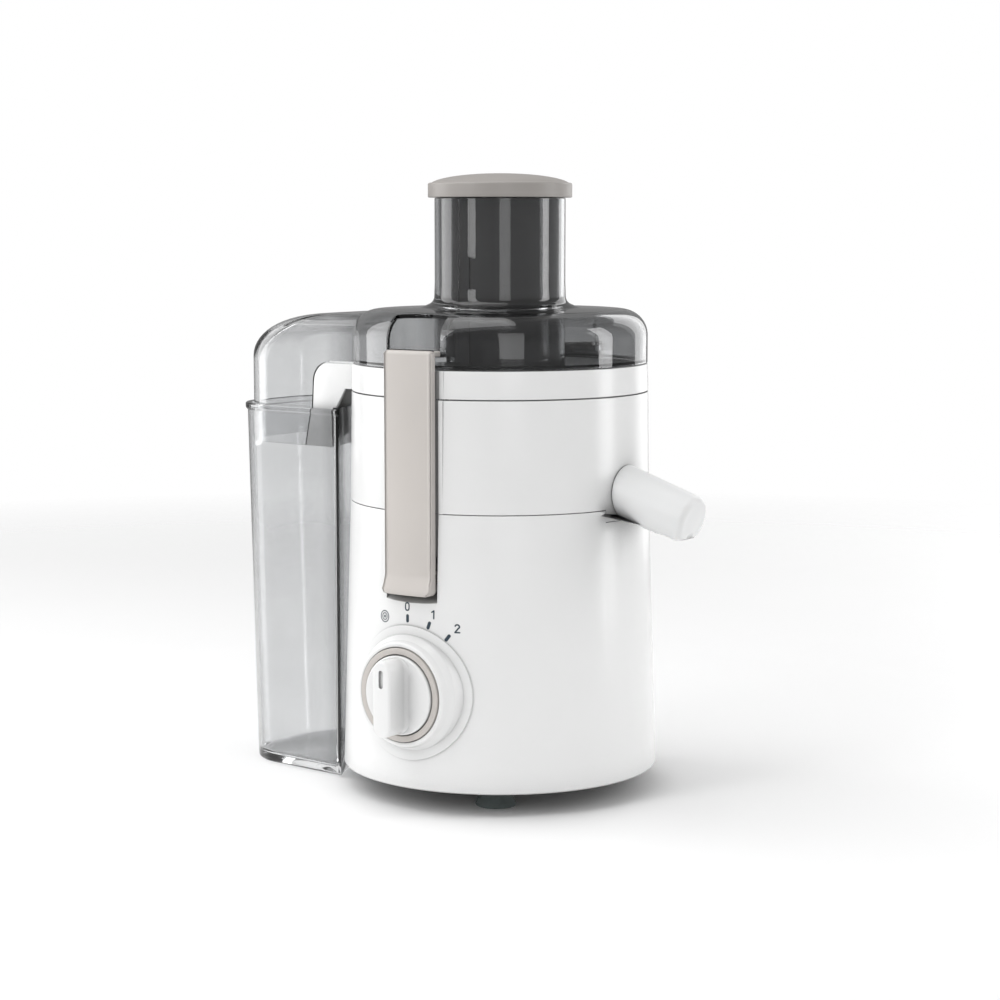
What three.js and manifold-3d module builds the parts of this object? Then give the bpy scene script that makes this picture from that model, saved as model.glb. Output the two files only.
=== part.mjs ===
// Centrifugal juicer: a round motor base, a juice bowl with a spout, a white collar whose chute
// reaches over a pulp tank, a smoke-clear lid with a feed tube, and the drive train inside.
// Millimetres, +Z up. The drive axis is vertical, the knob faces -Y, the spout +X, the tank -X.
import * as THREE from 'three';
import { mergeVertices } from 'three/addons/utils/BufferGeometryUtils.js';
import Module from 'manifold-3d';

const wasm = await Module();
wasm.setup();

// ---------------------------------------------------------------- driving dimensions

const GAP = 0.3;                 // between pieces that touch
const SKIN = 96;                 // facets of a narrow slice of a large round piece
const ROUND = 44;                // of a large round piece
const MEDIUM = 24;               // of one half that size
const SLENDER = 18;              // of the spout
const SMALL = 12;                // of a small round piece
const FINE = 8;                  // of a pin, screw or hole

// Body.
const FOOT_HEIGHT = 13;
const BASE_HEIGHT = 157;         // underside of the base to the bowl seam
const BOWL_HEIGHT = 64;
const COLLAR_HEIGHT = 16;
const LID_HEIGHT = 31;
const TUBE_HEIGHT = 64.7;        // feed tube above the lid's flat top
const BODY_R = 88;               // at the bowl seam
const BASE_SPREAD = 5;           // the base is wider at the bottom by this
const BODY_DRAFT = 1.2;          // bowl and collar lean in by this up to the lid
const WALL = 2.8;
const PLATE_THICK = 3;           // base plate
const LID_WALL = 2.4;
const LID_SHOULDER = 16;         // radius of the lid's rounded edge

// Where the bowl sits on the base.
const NEST_CLEAR = 4;            // between the bowl's lower part and the base's wall
const NEST_DEPTH = 6;
const DECK_DROP = 10;            // base deck below the bowl seam
const HUB_R = 21;                // boss around the shaft on the deck
const HUB_TOP = 12;              // above the bowl seam
const CHIMNEY_CLEAR = 1.5;       // between the boss and the bowl's inner tube
const CHIMNEY_TOP = 20;
const CHIMNEY_WALL = 2.5;

// Spout.
const SPOUT_R = 15.4;
const SPOUT_TIP_R = 14.2;
const SPOUT_BORE_R = 12;
const SPOUT_NECK_R = 13.6;
const SPOUT_SLOPE = THREE.MathUtils.degToRad(17.4);
const SPOUT_LENGTH = 46;         // along its axis, outside the bowl
const SPOUT_EDGE = 5;            // rounding at the tip
const SPOUT_RISE = 8.8;          // axis above the bowl seam where it leaves the bowl
const SPOUT_MOUTH_R = 8.5;
const SPOUT_MOUTH_BACK = 14;     // the mouth's axis is this far back from the tip
const TAB_HALF = 19.4;           // half width of the tab under the spout
const TAB_DROP = 6.4;

// Pulp tank and the chute above it.
const TANK_DEPTH = 77.5;
const TANK_CORNER_R = 36;
const TANK_CORNER_Y = 14;        // centre of each outer corner, from the middle plane
const TANK_SIDE_ANGLE = THREE.MathUtils.degToRad(4.4);
const TANK_DROP = 12;            // rim below the collar seam
const TANK_CLEAR = 1;            // under the tank
const TANK_WALL = 2.2;
const TANK_FLOOR = 5;
const TANK_TAPER = 6.5;          // the far wall leans in by this at the bottom
const TANK_BODY_GAP = 2.5;
const TANK_FLARE = 1.2;          // the rim stands out by this
const TANK_BEAD = 4;             // height of the rim's bead
const CHUTE_PLAY = 1.8;          // around the skirts that hang in the tank
const CHUTE_SKIRT = 23;          // how far the skirts hang below the tank's rim
const CHUTE_WALL = 2.4;
const ARM_DROP = 1;              // top of the chute's arm below the lid seam
const HOOD_FALL = 27;            // height of the hood's rounded far end
const HOOD_SWEEP = 62;           // its length
const HOOD_DROP = 3.6;           // hood top below the lid's flat top
const HOOD_SHOULDER = 12;

// Feed tube and pusher.
const TUBE_R = 38.2;
const TUBE_WALL = 2.3;
const TUBE_CLEAR = 7.7;          // lower end of the tube above the grating disc
const PUSHER_PLAY = 0.4;
const PUSHER_WALL = 3;
const CAP_OVERHANG = 3.85;
const CAP_EDGE = 7.5;
const CAP_CROWN = 6.5;
const KEY_WIDTH = 7.4;
const KEY_DEPTH = 1.7;

// Clamps, front and back.
const CLAMP_HALF = 16.6;
const CLAMP_PROUD = 4.6;         // outer face beyond the body's radius
const CLAMP_HOOK = 3.5;
const CLAMP_LIP = 3;
const CHANNEL_DEPTH = 3.4;       // flat-bottomed channel that the clamp lies in
const CHANNEL_PLAY = 1.1;
const PIVOT_INSET = 4;           // pivot axis inside the body's radius
const PIVOT_DROP = 36;           // below the bowl seam
const PIVOT_TO_FOOT = 10;        // pivot axis above the clamp's lower edge
const KNUCKLE_R = 3.6;
const PIN_R = 1.5;
const PIN_PLAY = GAP + 0.05;
const POCKET_DEPTH = 10.5;       // of the pocket in the lid that the hook reaches into
const LEDGE = 7.2;               // pocket floor above the lid's lower edge

// Dial and knob.
const KNOB_RISE = 55;            // knob axis above the underside of the base
const DIAL_R = 38.2;
const DIAL_PROUD = 1.2;
const CUP_ROOT_R = 34;
const CUP_R = 29.3;
const CUP_DEPTH = 4.5;
const CUP_PROUD = 6.5;           // the cup's rim beyond the base's radius
const TRIM_R = 26.7;
const KNOB_R = 22.6;
const KNOB_PROUD = 2.5;          // the knob's disc beyond the cup's rim
const GRIP_PROUD = 15;           // the grip beyond the knob's disc
const GRIP_LONG = 43.5;
const GRIP_WIDE = 12;
const SPINDLE_R = 3;
const SPINDLE_LENGTH = 38.6;

// Motor.
const SHAFT_R = 4;
const CORE_X = 38;               // stator core, half sizes
const CORE_Y = 30;
const CORE_HEIGHT = 38;
const ROTOR_R = 19.6;
const AIR_GAP = 0.8;
const COIL_X = 27;               // middle of each field coil
const MOUNT_X = 33;              // rubber mounts
const MOUNT_Y = 24;
const MOUNT_DROP = 26;           // under the rubber mounts, below the deck
const FAN_SPACE = 30;            // between the core and the upper bracket's top
const FAN_R = 30;
const BEARING_R = 11;
const LOWER_BEARING_R = 8;
const COMMUTATOR_R = 11;

// Strainer.
const DISC_RISE = 28.3;          // grating disc above the bowl seam
const DISC_OVERLAP = 5.3;        // the disc is wider than the feed tube by this
const DISC_THICK = 1.4;
const BASKET_INSET = 24;         // upper edge of the basket inside the body's radius
const BASKET_PROUD = 9;          // and above the collar seam
const BASKET_WALL = 1;

// Feet, screws, interlock and inlet.
const SUCKER_R = 11.75;
const FRONT_FOOT_INSET = 31.4;   // inside the base's radius
const FRONT_FOOT_ANGLE = 57.6;   // from +X, in degrees
const BACK_FOOT_INSET = 26.3;
const BACK_FOOT_ANGLE = 150.4;
const SCREWS = 4;
const SCREW_INSET = 13;
const INLET_RISE = 21;           // mains inlet above the underside of the base
const INTERLOCK_X = 44;
const INTERLOCK_Y = 44;
const INTERLOCK_R = 2;

// ---------------------------------------------------------------- levels and radii worked out from them

const Z_BASE = FOOT_HEIGHT;
const Z_PLATE = Z_BASE + PLATE_THICK;
const Z_BOWL = Z_BASE + BASE_HEIGHT;
const Z_DECK = Z_BOWL - DECK_DROP;
const Z_UNDER_DECK = Z_DECK - WALL;
const Z_NEST = Z_BOWL - NEST_DEPTH;
const Z_COLLAR = Z_BOWL + BOWL_HEIGHT;
const Z_LID = Z_COLLAR + COLLAR_HEIGHT;
const Z_LID_TOP = Z_LID + LID_HEIGHT;
const Z_TUBE_TOP = Z_LID_TOP + TUBE_HEIGHT;
const Z_LEDGE = Z_LID + LEDGE;
const FOOT_R = BODY_R + BASE_SPREAD;
const NEST_R = BODY_R - WALL - NEST_CLEAR;
const COLLAR_R = BODY_R - BODY_DRAFT * 0.75;
const LID_R = BODY_R - 1.5;
const CHIMNEY_R = HUB_R + CHIMNEY_CLEAR;
const bodyRadius = z => BODY_R + BASE_SPREAD * (Z_BOWL - z) / BASE_HEIGHT;

const TANK_TOP = Z_COLLAR - TANK_DROP;
const TANK_NEAR_R = FOOT_R + TANK_BODY_GAP;
const TANK_FAR_X = -(TANK_NEAR_R + TANK_DEPTH);
const CHUTE_NEAR_R = TANK_NEAR_R + TANK_WALL + 1.8;
const CHUTE_INSET = TANK_FLARE + TANK_WALL + CHUTE_PLAY;
const CHUTE_LOW = TANK_TOP - CHUTE_SKIRT;
const ARM_TOP = Z_LID - ARM_DROP;

const CLAMP_R = BODY_R + CLAMP_PROUD;
const CLAMP_BACK = LID_R + 2 * GAP;
const CHANNEL_Y = BODY_R - CHANNEL_DEPTH;
const CHANNEL_HALF = CLAMP_HALF + CHANNEL_PLAY;
const PIVOT_Y = BODY_R - PIVOT_INSET;
const PIVOT_Z = Z_BOWL - PIVOT_DROP;
const CLAMP_FOOT = PIVOT_Z - PIVOT_TO_FOOT;
const POCKET_Y = LID_R - POCKET_DEPTH;

const KNOB_Z = Z_BASE + KNOB_RISE;
const CUP_FACE = FOOT_R + CUP_PROUD;
const CUP_FLOOR = CUP_FACE - CUP_DEPTH;
const KNOB_FACE = CUP_FACE + KNOB_PROUD;
const GRIP_FACE = KNOB_FACE + GRIP_PROUD;
const CAP_R = TUBE_R + CAP_OVERHANG;

const MOTOR_TOP = Z_DECK - MOUNT_DROP;
const CORE_HIGH = MOTOR_TOP - FAN_SPACE;
const CORE_LOW = CORE_HIGH - CORE_HEIGHT;
const BRACKET_LOW = CORE_LOW - 28;
const BRUSH_LOW = CORE_LOW - 21.7;
const COMMUTATOR_LOW = CORE_LOW - 23.4;

const DISC_Z = Z_BOWL + DISC_RISE;
const DISC_R = TUBE_R + DISC_OVERLAP;
const TUBE_END = DISC_Z + TUBE_CLEAR;
const BASKET_TOP = Z_COLLAR + BASKET_PROUD;
const BASKET_TOP_R = BODY_R - BASKET_INSET;
const BASKET_LOW_R = DISC_R + BASKET_WALL;
const SCREW_RING = FOOT_R - SCREW_INSET;
const INLET_Z = Z_BASE + INLET_RISE;

// ---------------------------------------------------------------- materials

function finish(color, roughness, metalness = 0, opacity = 1) {
  const transparent = opacity < 1;
  return new THREE.MeshStandardMaterial({ color, roughness, metalness, opacity, transparent });
}
const WHITE = finish(0xf1f1f0, 0.28);
const FROST = finish(0xe9eae9, 0.35);
const SMOKE = finish(0x7d7e80, 0.12, 0, 0.45);
const WARM = finish(0xd9d3ce, 0.4);
const CAP_GREY = finish(0xb5b0ac, 0.45);
const DARK = finish(0x454444, 0.35);
const RUBBER = finish(0x5b6362, 0.7);
const STEEL = finish(0xc4c6c8, 0.25, 1);
const IRON = finish(0x6c6e72, 0.45, 1);
const COPPER = finish(0xb4652f, 0.4, 1);
const BRASS = finish(0xb99a55, 0.35, 1);
const BLACK = finish(0x1d1e20, 0.5);
const BOARD = finish(0x2f6b45, 0.6);

// ---------------------------------------------------------------- solids

// A closed three.js geometry as a solid that can be joined and cut.
function solid(geometry) {
  const bare = geometry.clone();
  bare.deleteAttribute('normal');
  bare.deleteAttribute('uv');
  const merged = mergeVertices(bare, 1e-4);
  return new wasm.Manifold(new wasm.Mesh({
    numProp: 3,
    vertProperties: new Float32Array(merged.attributes.position.array),
    triVerts: new Uint32Array(merged.index.array),
  }));
}

function geometryOf(shape) {
  const mesh = shape.getMesh();
  const geometry = new THREE.BufferGeometry();
  geometry.setAttribute('position', new THREE.BufferAttribute(mesh.vertProperties, 3));
  geometry.setIndex(new THREE.BufferAttribute(mesh.triVerts, 1));
  geometry.computeVertexNormals();
  return geometry;
}

// A profile of [radius, height] pairs turned about +Z.
function turned(profile, facets = ROUND) {
  const points = profile.map(([r, z]) => new THREE.Vector2(r, z));
  return solid(new THREE.LatheGeometry(points, facets).rotateX(Math.PI / 2));
}

// A turned profile that closes on itself away from the axis.
function ring(profile, facets = ROUND) {
  return turned([...profile, profile[0]], facets);
}

function cylinder(radius, low, high, facets = SMALL) {
  return turned([[0, low], [radius, low], [radius, high], [0, high]], facets);
}

function box(x0, x1, y0, y1, z0, z1) {
  const block = new THREE.BoxGeometry(x1 - x0, y1 - y0, z1 - z0);
  return solid(block.translate((x0 + x1) / 2, (y0 + y1) / 2, (z0 + z1) / 2));
}

// An XY outline raised from one height to another.
function prism(shape, low, high, curveSegments = 8) {
  const depth = high - low;
  const body = new THREE.ExtrudeGeometry(shape, { depth, bevelEnabled: false, curveSegments });
  return solid(body.translate(0, 0, low));
}

// An outline drawn in X and Z, carried along Y.
function sideways(shape, halfWidth, curveSegments = 8) {
  const depth = 2 * halfWidth;
  const body = new THREE.ExtrudeGeometry(shape, { depth, bevelEnabled: false, curveSegments });
  return solid(body.translate(0, 0, -halfWidth).rotateX(Math.PI / 2));
}

function polygon(points) {
  return new THREE.Shape(points.map(([a, b]) => new THREE.Vector2(a, b)));
}

// Turns a solid whose axis is +Z so that it faces -Y, about the knob's axis.
function facingFront(shape) {
  return shape.rotate([90, 0, 0]).translate([0, 0, KNOB_Z]);
}

// Both of a pair that mirrors across the middle plane y = 0.
function bothSides(shape) {
  return shape.add(shape.mirror([0, 1, 0]));
}

// Points of a quarter turn of an ellipse, from angle a0 to a1 in degrees.
function arc(cx, cy, rx, ry, a0, a1, steps) {
  return Array.from({ length: steps + 1 }, (_, i) => {
    const angle = THREE.MathUtils.degToRad(a0 + (a1 - a0) * i / steps);
    return [cx + rx * Math.cos(angle), cy + ry * Math.sin(angle)];
  });
}

// Plan outline shared by the tank, the chute and the lid's hood, drawn inward by inset.
function tankOutline(inset) {
  const centreX = TANK_FAR_X + TANK_CORNER_R;
  const radius = TANK_CORNER_R - inset;
  const normal = [-Math.sin(TANK_SIDE_ANGLE), -Math.cos(TANK_SIDE_ANGLE)];
  const tangent = [centreX + radius * normal[0], -TANK_CORNER_Y + radius * normal[1]];
  const reach = -BODY_R / 2 - tangent[0];
  const inner = [tangent[0] + reach, tangent[1] - reach * Math.tan(TANK_SIDE_ANGLE)];
  const start = 270 - THREE.MathUtils.radToDeg(TANK_SIDE_ANGLE);
  const lower = arc(centreX, -TANK_CORNER_Y, radius, radius, start, 180, 8);
  const upper = lower.map(([x, y]) => [x, -y]).reverse();
  return polygon([inner, ...lower, ...upper, [inner[0], -inner[1]]]);
}

// Half width of that outline where it crosses a given x.
function tankHalfWidth(x) {
  const centreX = TANK_FAR_X + TANK_CORNER_R;
  const atCorner = TANK_CORNER_Y + TANK_CORNER_R / Math.cos(TANK_SIDE_ANGLE);
  return atCorner + (x - centreX) * Math.tan(TANK_SIDE_ANGLE);
}

// Everything within the shared plan outline between two heights.
function withinOutline(inset, low, high) {
  return prism(tankOutline(inset), low, high);
}

// Channel for a clamp, front and back, with material behind it.
function withChannels(shell, outerR, low, high) {
  const side = CHANNEL_HALF + 2.4;
  const backing = box(-side, side, -outerR, -CHANNEL_Y + WALL, low, high)
    .intersect(cylinder(outerR, low, high, ROUND));
  const channel = box(-CHANNEL_HALF, CHANNEL_HALF, -outerR - 9, -CHANNEL_Y, low - 1, high + 1);
  return shell.add(bothSides(backing)).subtract(bothSides(channel));
}

// Copies of a piece at each base screw, drawn for a screw on the +X axis.
function atEachScrew(shape) {
  const copies = Array.from({ length: SCREWS }, (_, i) => {
    return shape.translate([SCREW_RING, 0, 0]).rotate([0, 0, 360 * (i + 0.5) / SCREWS]);
  });
  return copies.reduce((all, copy) => all.add(copy));
}

// ---------------------------------------------------------------- base

// Outside of the base, standing proud of it by a margin.
function baseOutside(proud) {
  return [[FOOT_R - 0.8, Z_BASE], [FOOT_R, Z_BASE + 0.8], [BODY_R, Z_BOWL - 0.5], [BODY_R - 0.5, Z_BOWL]]
    .map(([r, z]) => [r + proud, z]);
}

// Outer wall, deck and the boss around the shaft, in one turned shell.
function baseShell() {
  const hubTop = Z_BOWL + HUB_TOP;
  return ring([
    ...baseOutside(0),
    [BODY_R - WALL, Z_BOWL], [BODY_R - WALL, Z_DECK],
    [HUB_R, Z_DECK], [HUB_R, hubTop], [BEARING_R, hubTop], [BEARING_R, hubTop - 6],
    [HUB_R - 4, hubTop - 6], [HUB_R - 4, Z_UNDER_DECK],
    [bodyRadius(Z_UNDER_DECK) - WALL, Z_UNDER_DECK], [FOOT_R - WALL, Z_BASE],
  ]);
}

// Blocks behind the clamps, with a recess for the clamp's lower end and a hole for its pin.
function withClampSeats(shell) {
  const side = CHANNEL_HALF + 7;
  const low = CLAMP_FOOT - 5;
  const filled = turned([[0, Z_BASE], ...baseOutside(0), [0, Z_BOWL]]);
  const block = box(-side, side, -FOOT_R, -PIVOT_Y + 11, low - 3, CLAMP_FOOT + 30).intersect(filled);
  const recess = box(-CHANNEL_HALF, CHANNEL_HALF, -FOOT_R - 9, -PIVOT_Y + 8, low, CLAMP_FOOT + 22);
  const pinHole = cylinder(PIN_R + PIN_PLAY, -CHANNEL_HALF - 3, CHANNEL_HALF + 3, FINE);
  return withChannels(shell.add(bothSides(block)), BODY_R, low, Z_BOWL)
    .subtract(bothSides(recess.add(acrossPivot(pinHole))));
}

// Lays a piece drawn along +Z on the front clamp's pivot axis.
function acrossPivot(shape) {
  return shape.rotate([0, 90, 0]).translate([0, -PIVOT_Y, PIVOT_Z]);
}

// Round dial on the front, and the conical cup that the knob sits in.
function withDial(shell) {
  const skin = turned([[0, Z_BASE], ...baseOutside(DIAL_PROUD), [0, Z_BOWL]]);
  const dial = facingFront(cylinder(DIAL_R, FOOT_R - 18, FOOT_R + 3, ROUND)).intersect(skin);
  const root = FOOT_R - 8;
  const cup = facingFront(turned([
    [0, root], [CUP_ROOT_R, root], [CUP_R + 0.6, CUP_FACE - 1.4], [CUP_R - 0.8, CUP_FACE], [0, CUP_FACE],
  ], MEDIUM));
  const hollow = turned([[0, Z_BASE - 1], [FOOT_R - WALL, Z_BASE - 1],
    [bodyRadius(Z_UNDER_DECK) - WALL, Z_UNDER_DECK], [0, Z_UNDER_DECK]]);
  const behind = FOOT_R - 20;
  const cupHollow = cylinder(TRIM_R + GAP, CUP_FLOOR, CUP_FACE + 1, MEDIUM);
  const cupBack = cylinder(CUP_R - WALL, behind, CUP_FLOOR - WALL, MEDIUM);
  const spindleHole = cylinder(SPINDLE_R + 6, behind, CUP_FACE, SMALL);
  return shell.add(dial.add(cup).subtract(hollow))
    .subtract(facingFront(cupHollow.add(cupBack).add(spindleHole)));
}

function motorPosts() {
  const post = cylinder(5.5, MOTOR_TOP + 7.7, Z_UNDER_DECK + 1, FINE).translate([MOUNT_X, MOUNT_Y, 0]);
  return bothSides(post.add(post.mirror([1, 0, 0])));
}

function screwBosses() {
  const low = Z_PLATE + GAP;
  const high = Z_PLATE + 22;
  const rib = box(0, FOOT_R - SCREW_RING - 1.5, -1.2, 1.2, low, high);
  return atEachScrew(cylinder(4.5, low, high, FINE).add(rib)
    .subtract(cylinder(1.9, low - 1, high - 4, FINE)));
}

function baseHousing() {
  const notch = box(NEST_R, FOOT_R + 1, -TAB_HALF - GAP, TAB_HALF + GAP, Z_BOWL - TAB_DROP - GAP, Z_BOWL + 1);
  const inlet = cylinder(6.5, FOOT_R - 8, FOOT_R + 2).rotate([-90, 0, 0]).translate([0, 0, INLET_Z]);
  const pinHole = cylinder(INTERLOCK_R + 0.5, Z_UNDER_DECK - 1, Z_DECK + 1, FINE)
    .translate([INTERLOCK_X, INTERLOCK_Y, 0]);
  return withDial(withClampSeats(baseShell())).add(motorPosts()).add(screwBosses())
    .subtract(notch).subtract(inlet).subtract(pinHole);
}

function basePlate() {
  const low = Z_BASE - 1;
  const high = Z_PLATE + 1;
  let plate = cylinder(FOOT_R - WALL - GAP, Z_BASE + 0.2, Z_PLATE, ROUND);
  for (const [x, y] of feetPlaces()) {
    plate = plate.subtract(cylinder(3.4, low, high, FINE).translate([x, y, 0]));
  }
  const screwHole = cylinder(1.9, low, high, FINE).add(cylinder(3.6, low, Z_BASE + 1.8, FINE));
  plate = plate.subtract(atEachScrew(screwHole));
  for (let i = -2; i <= 2; i++) {
    plate = plate.subtract(box(-24, 20, 9 * i - 2, 9 * i + 2, low, high));
  }
  return plate;
}

function feetPlaces() {
  const places = [[FRONT_FOOT_INSET, -FRONT_FOOT_ANGLE], [FRONT_FOOT_INSET, FRONT_FOOT_ANGLE],
    [BACK_FOOT_INSET, -BACK_FOOT_ANGLE], [BACK_FOOT_INSET, BACK_FOOT_ANGLE]];
  return places.map(([inset, degrees]) => {
    const angle = THREE.MathUtils.degToRad(degrees);
    return [(FOOT_R - inset) * Math.cos(angle), (FOOT_R - inset) * Math.sin(angle)];
  });
}

// A suction cup with a stem that snaps into the base plate.
function suctionFoot() {
  const top = FOOT_HEIGHT + 0.2 - GAP;
  const collar = Z_PLATE + GAP;
  return turned([
    [0, 3.2], [SUCKER_R - 4.6, 1.7], [SUCKER_R - 2.7, 0], [SUCKER_R, 0], [SUCKER_R, 1], [7.4, top - 3.6],
    [6.6, top], [3, top], [3, collar], [4.3, collar + 0.4], [3, collar + 3.3], [0, collar + 3.3],
  ], SMALL);
}

function baseScrew() {
  return turned([
    [0, Z_BASE + 0.4], [3.2, Z_BASE + 0.4], [3.2, Z_BASE + 1.5], [1.5, Z_BASE + 1.5],
    [1.5, Z_PLATE + 15], [0, Z_PLATE + 16.5],
  ], FINE);
}

function mainsInlet() {
  const wallR = bodyRadius(INLET_Z);
  return ring([
    [3.6, wallR - 6], [8.4, wallR - 6], [8.4, wallR - 3.6], [6.1, wallR - 3.6], [6.1, wallR + 0.5],
    [8.6, wallR + 0.5], [7.6, wallR + 2.6], [3.6, wallR + 2.6],
  ], SMALL).rotate([-90, 0, 0]).translate([0, 0, INLET_Z]);
}

// ---------------------------------------------------------------- motor

function statorCore() {
  const outline = new THREE.Shape();
  const corner = 6;
  outline.moveTo(CORE_X, CORE_Y - corner);
  outline.absarc(CORE_X - corner, CORE_Y - corner, corner, 0, Math.PI / 2);
  outline.absarc(-CORE_X + corner, CORE_Y - corner, corner, Math.PI / 2, Math.PI);
  outline.absarc(-CORE_X + corner, -CORE_Y + corner, corner, Math.PI, 1.5 * Math.PI);
  outline.absarc(CORE_X - corner, -CORE_Y + corner, corner, 1.5 * Math.PI, 2 * Math.PI);
  const bore = cylinder(ROTOR_R + AIR_GAP, CORE_LOW - 1, CORE_HIGH + 1, MEDIUM);
  const slot = box(-3.5, 3.5, -4, 4, CORE_LOW - 1, CORE_HIGH + 1).translate([COIL_X, 18.6, 0]);
  const slots = bothSides(slot.add(slot.mirror([1, 0, 0])));
  return prism(outline, CORE_LOW, CORE_HIGH, 4).subtract(bore).subtract(slots);
}

// One field coil, a loop through two slots of the core.
function fieldCoil(side) {
  const middle = (CORE_LOW + CORE_HIGH) / 2;
  const high = (CORE_HIGH - CORE_LOW) / 2;
  const loop = box(-3, 3, -22, 22, -high - 7, high + 7);
  const core = box(-4, 4, -15.2, 15.2, -high - GAP, high + GAP);
  return loop.subtract(core).translate([side * COIL_X, 0, middle]);
}

function armature() {
  const bore = SHAFT_R + GAP;
  let stack = ring([
    [bore, CORE_LOW - 6], [13, CORE_LOW - 6], [15.5, CORE_LOW - 1], [ROTOR_R, CORE_LOW + 1],
    [ROTOR_R, CORE_HIGH - 1], [15.5, CORE_HIGH + 1], [13, CORE_HIGH + 5], [bore, CORE_HIGH + 5],
  ], MEDIUM);
  for (let i = 0; i < 8; i++) {
    const slot = box(ROTOR_R - 2, ROTOR_R + 1, -0.8, 0.8, CORE_LOW - 2, CORE_HIGH + 2);
    stack = stack.subtract(slot.rotate([0, 0, 45 * i + 5]));
  }
  return stack;
}

function commutator() {
  const low = COMMUTATOR_LOW;
  return ring([
    [SHAFT_R + GAP, low], [COMMUTATOR_R - 1.6, low], [COMMUTATOR_R, low + 1], [COMMUTATOR_R, low + 14],
    [COMMUTATOR_R + 1.4, low + 15], [COMMUTATOR_R + 1.4, low + 17], [SHAFT_R + GAP, low + 17],
  ], SMALL);
}

function motorShaft() {
  const low = BRACKET_LOW - 10;
  const top = Z_BOWL + CHIMNEY_TOP + 2;
  return turned([
    [0, low], [SHAFT_R - 0.6, low], [SHAFT_R, low + 0.8], [SHAFT_R, top - 1], [SHAFT_R - 1, top], [0, top],
  ], FINE);
}

function bearing(outerR, low, high) {
  return ring([[SHAFT_R + GAP, low], [outerR, low], [outerR, high], [SHAFT_R + GAP, high]], SMALL);
}

function coolingFan() {
  const low = CORE_HIGH + 10;
  const high = low + 11;
  let fan = ring([
    [SHAFT_R + GAP, low], [FAN_R, low], [FAN_R, low + 1.6], [9, low + 1.6], [9, high], [SHAFT_R + GAP, high],
  ], MEDIUM);
  for (let i = 0; i < 8; i++) {
    const blade = box(10, FAN_R, -0.7, 0.7, low + 1, high - 1).rotate([0, 0, 22]).translate([2, -4, 0]);
    fan = fan.add(blade.intersect(cylinder(FAN_R, low, high, MEDIUM)).rotate([0, 0, 45 * i]));
  }
  return fan.add(ring([[8, low + 1], [13, low + 1], [13, low + 5], [8, low + 5]], SMALL));
}

// A bracket across the motor: a bridge with a bearing seat, and four legs to the core.
function bracket(level, legTo, seatR, seatLow, seatHigh) {
  const reach = MOUNT_X + 5;
  let body = box(-reach, reach, -9, 9, level, level + 4);
  for (const side of [-1, 1]) {
    const middle = side * MOUNT_X;
    body = body.add(box(middle - 5, middle + 5, -MOUNT_Y - 5, MOUNT_Y + 5, level, level + 4));
    const leg = cylinder(3, Math.min(level + 1, legTo), Math.max(level + 1, legTo), FINE);
    body = body.add(bothSides(leg.translate([side * (MOUNT_X - 0.5), MOUNT_Y, 0])));
  }
  body = body.add(cylinder(seatR + 3.2, Math.min(level, seatLow), Math.max(level + 4, seatHigh), SMALL));
  return body.subtract(cylinder(seatR + GAP, seatLow, seatHigh + 20, SMALL))
    .subtract(cylinder(SHAFT_R + 1.5, level - 30, level + 30, SMALL));
}

function upperBracket() {
  return bracket(MOTOR_TOP - 4, CORE_HIGH + GAP, BEARING_R, MOTOR_TOP - 3, MOTOR_TOP + 6);
}

// The lower one also carries the brush holders on two arms.
function lowerBracket() {
  const low = BRACKET_LOW;
  const arm = box(-6, 6, -28, -9.5, low, low + 3.5).add(box(-6, 6, -28, -14, low, BRUSH_LOW - GAP));
  return bracket(low, CORE_LOW - GAP, LOWER_BEARING_R, low - 7, low + 2).add(bothSides(arm));
}

// Sits on the lower bracket's arm and points at the commutator along Y.
function brushHolder() {
  return box(-5, 5, -27, -12.5, BRUSH_LOW, BRUSH_LOW + 9.7)
    .subtract(box(-3.2, 3.2, -28, -12, BRUSH_LOW + 1.7, BRUSH_LOW + 7.1));
}

function carbonBrush() {
  return box(-2.8, 2.8, -24, -COMMUTATOR_R - 0.4, BRUSH_LOW + 2.1, BRUSH_LOW + 6.7);
}

function rubberMount() {
  const low = MOTOR_TOP + GAP;
  const high = MOTOR_TOP + 7.4;
  return ring([[1.6, low], [6.6, low], [5.4, low + 3.5], [6.6, high], [1.6, high]], FINE);
}

function shaftSeal() {
  const top = Z_BOWL + HUB_TOP - GAP;
  const outerR = BEARING_R - 0.4;
  return ring([
    [SHAFT_R + GAP, top - 2.7], [6.4, top - 5.4], [outerR, top - 5.4], [outerR, top], [6.4, top],
  ], SMALL);
}

// Six-lobed outline of the drive coupling, grown by play for its socket.
function starOutline(play) {
  const points = [];
  for (let i = 0; i < 48; i++) {
    const angle = i * Math.PI / 24;
    const radius = 8.4 + play + 1.1 * Math.cos(6 * angle);
    points.push([radius * Math.cos(angle), radius * Math.sin(angle)]);
  }
  return polygon(points);
}

function driveCoupling() {
  const low = Z_BOWL + HUB_TOP + 3;
  const bore = SHAFT_R + GAP;
  const flange = ring([[bore, low - 1.6], [7.2, low - 1.6], [7.2, low + 1], [bore, low + 1]], SMALL);
  return prism(starOutline(0), low, low + 8.4).subtract(cylinder(bore, low - 1, low + 20, FINE)).add(flange);
}

// ---------------------------------------------------------------- switch, knob, interlock, filter

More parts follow.
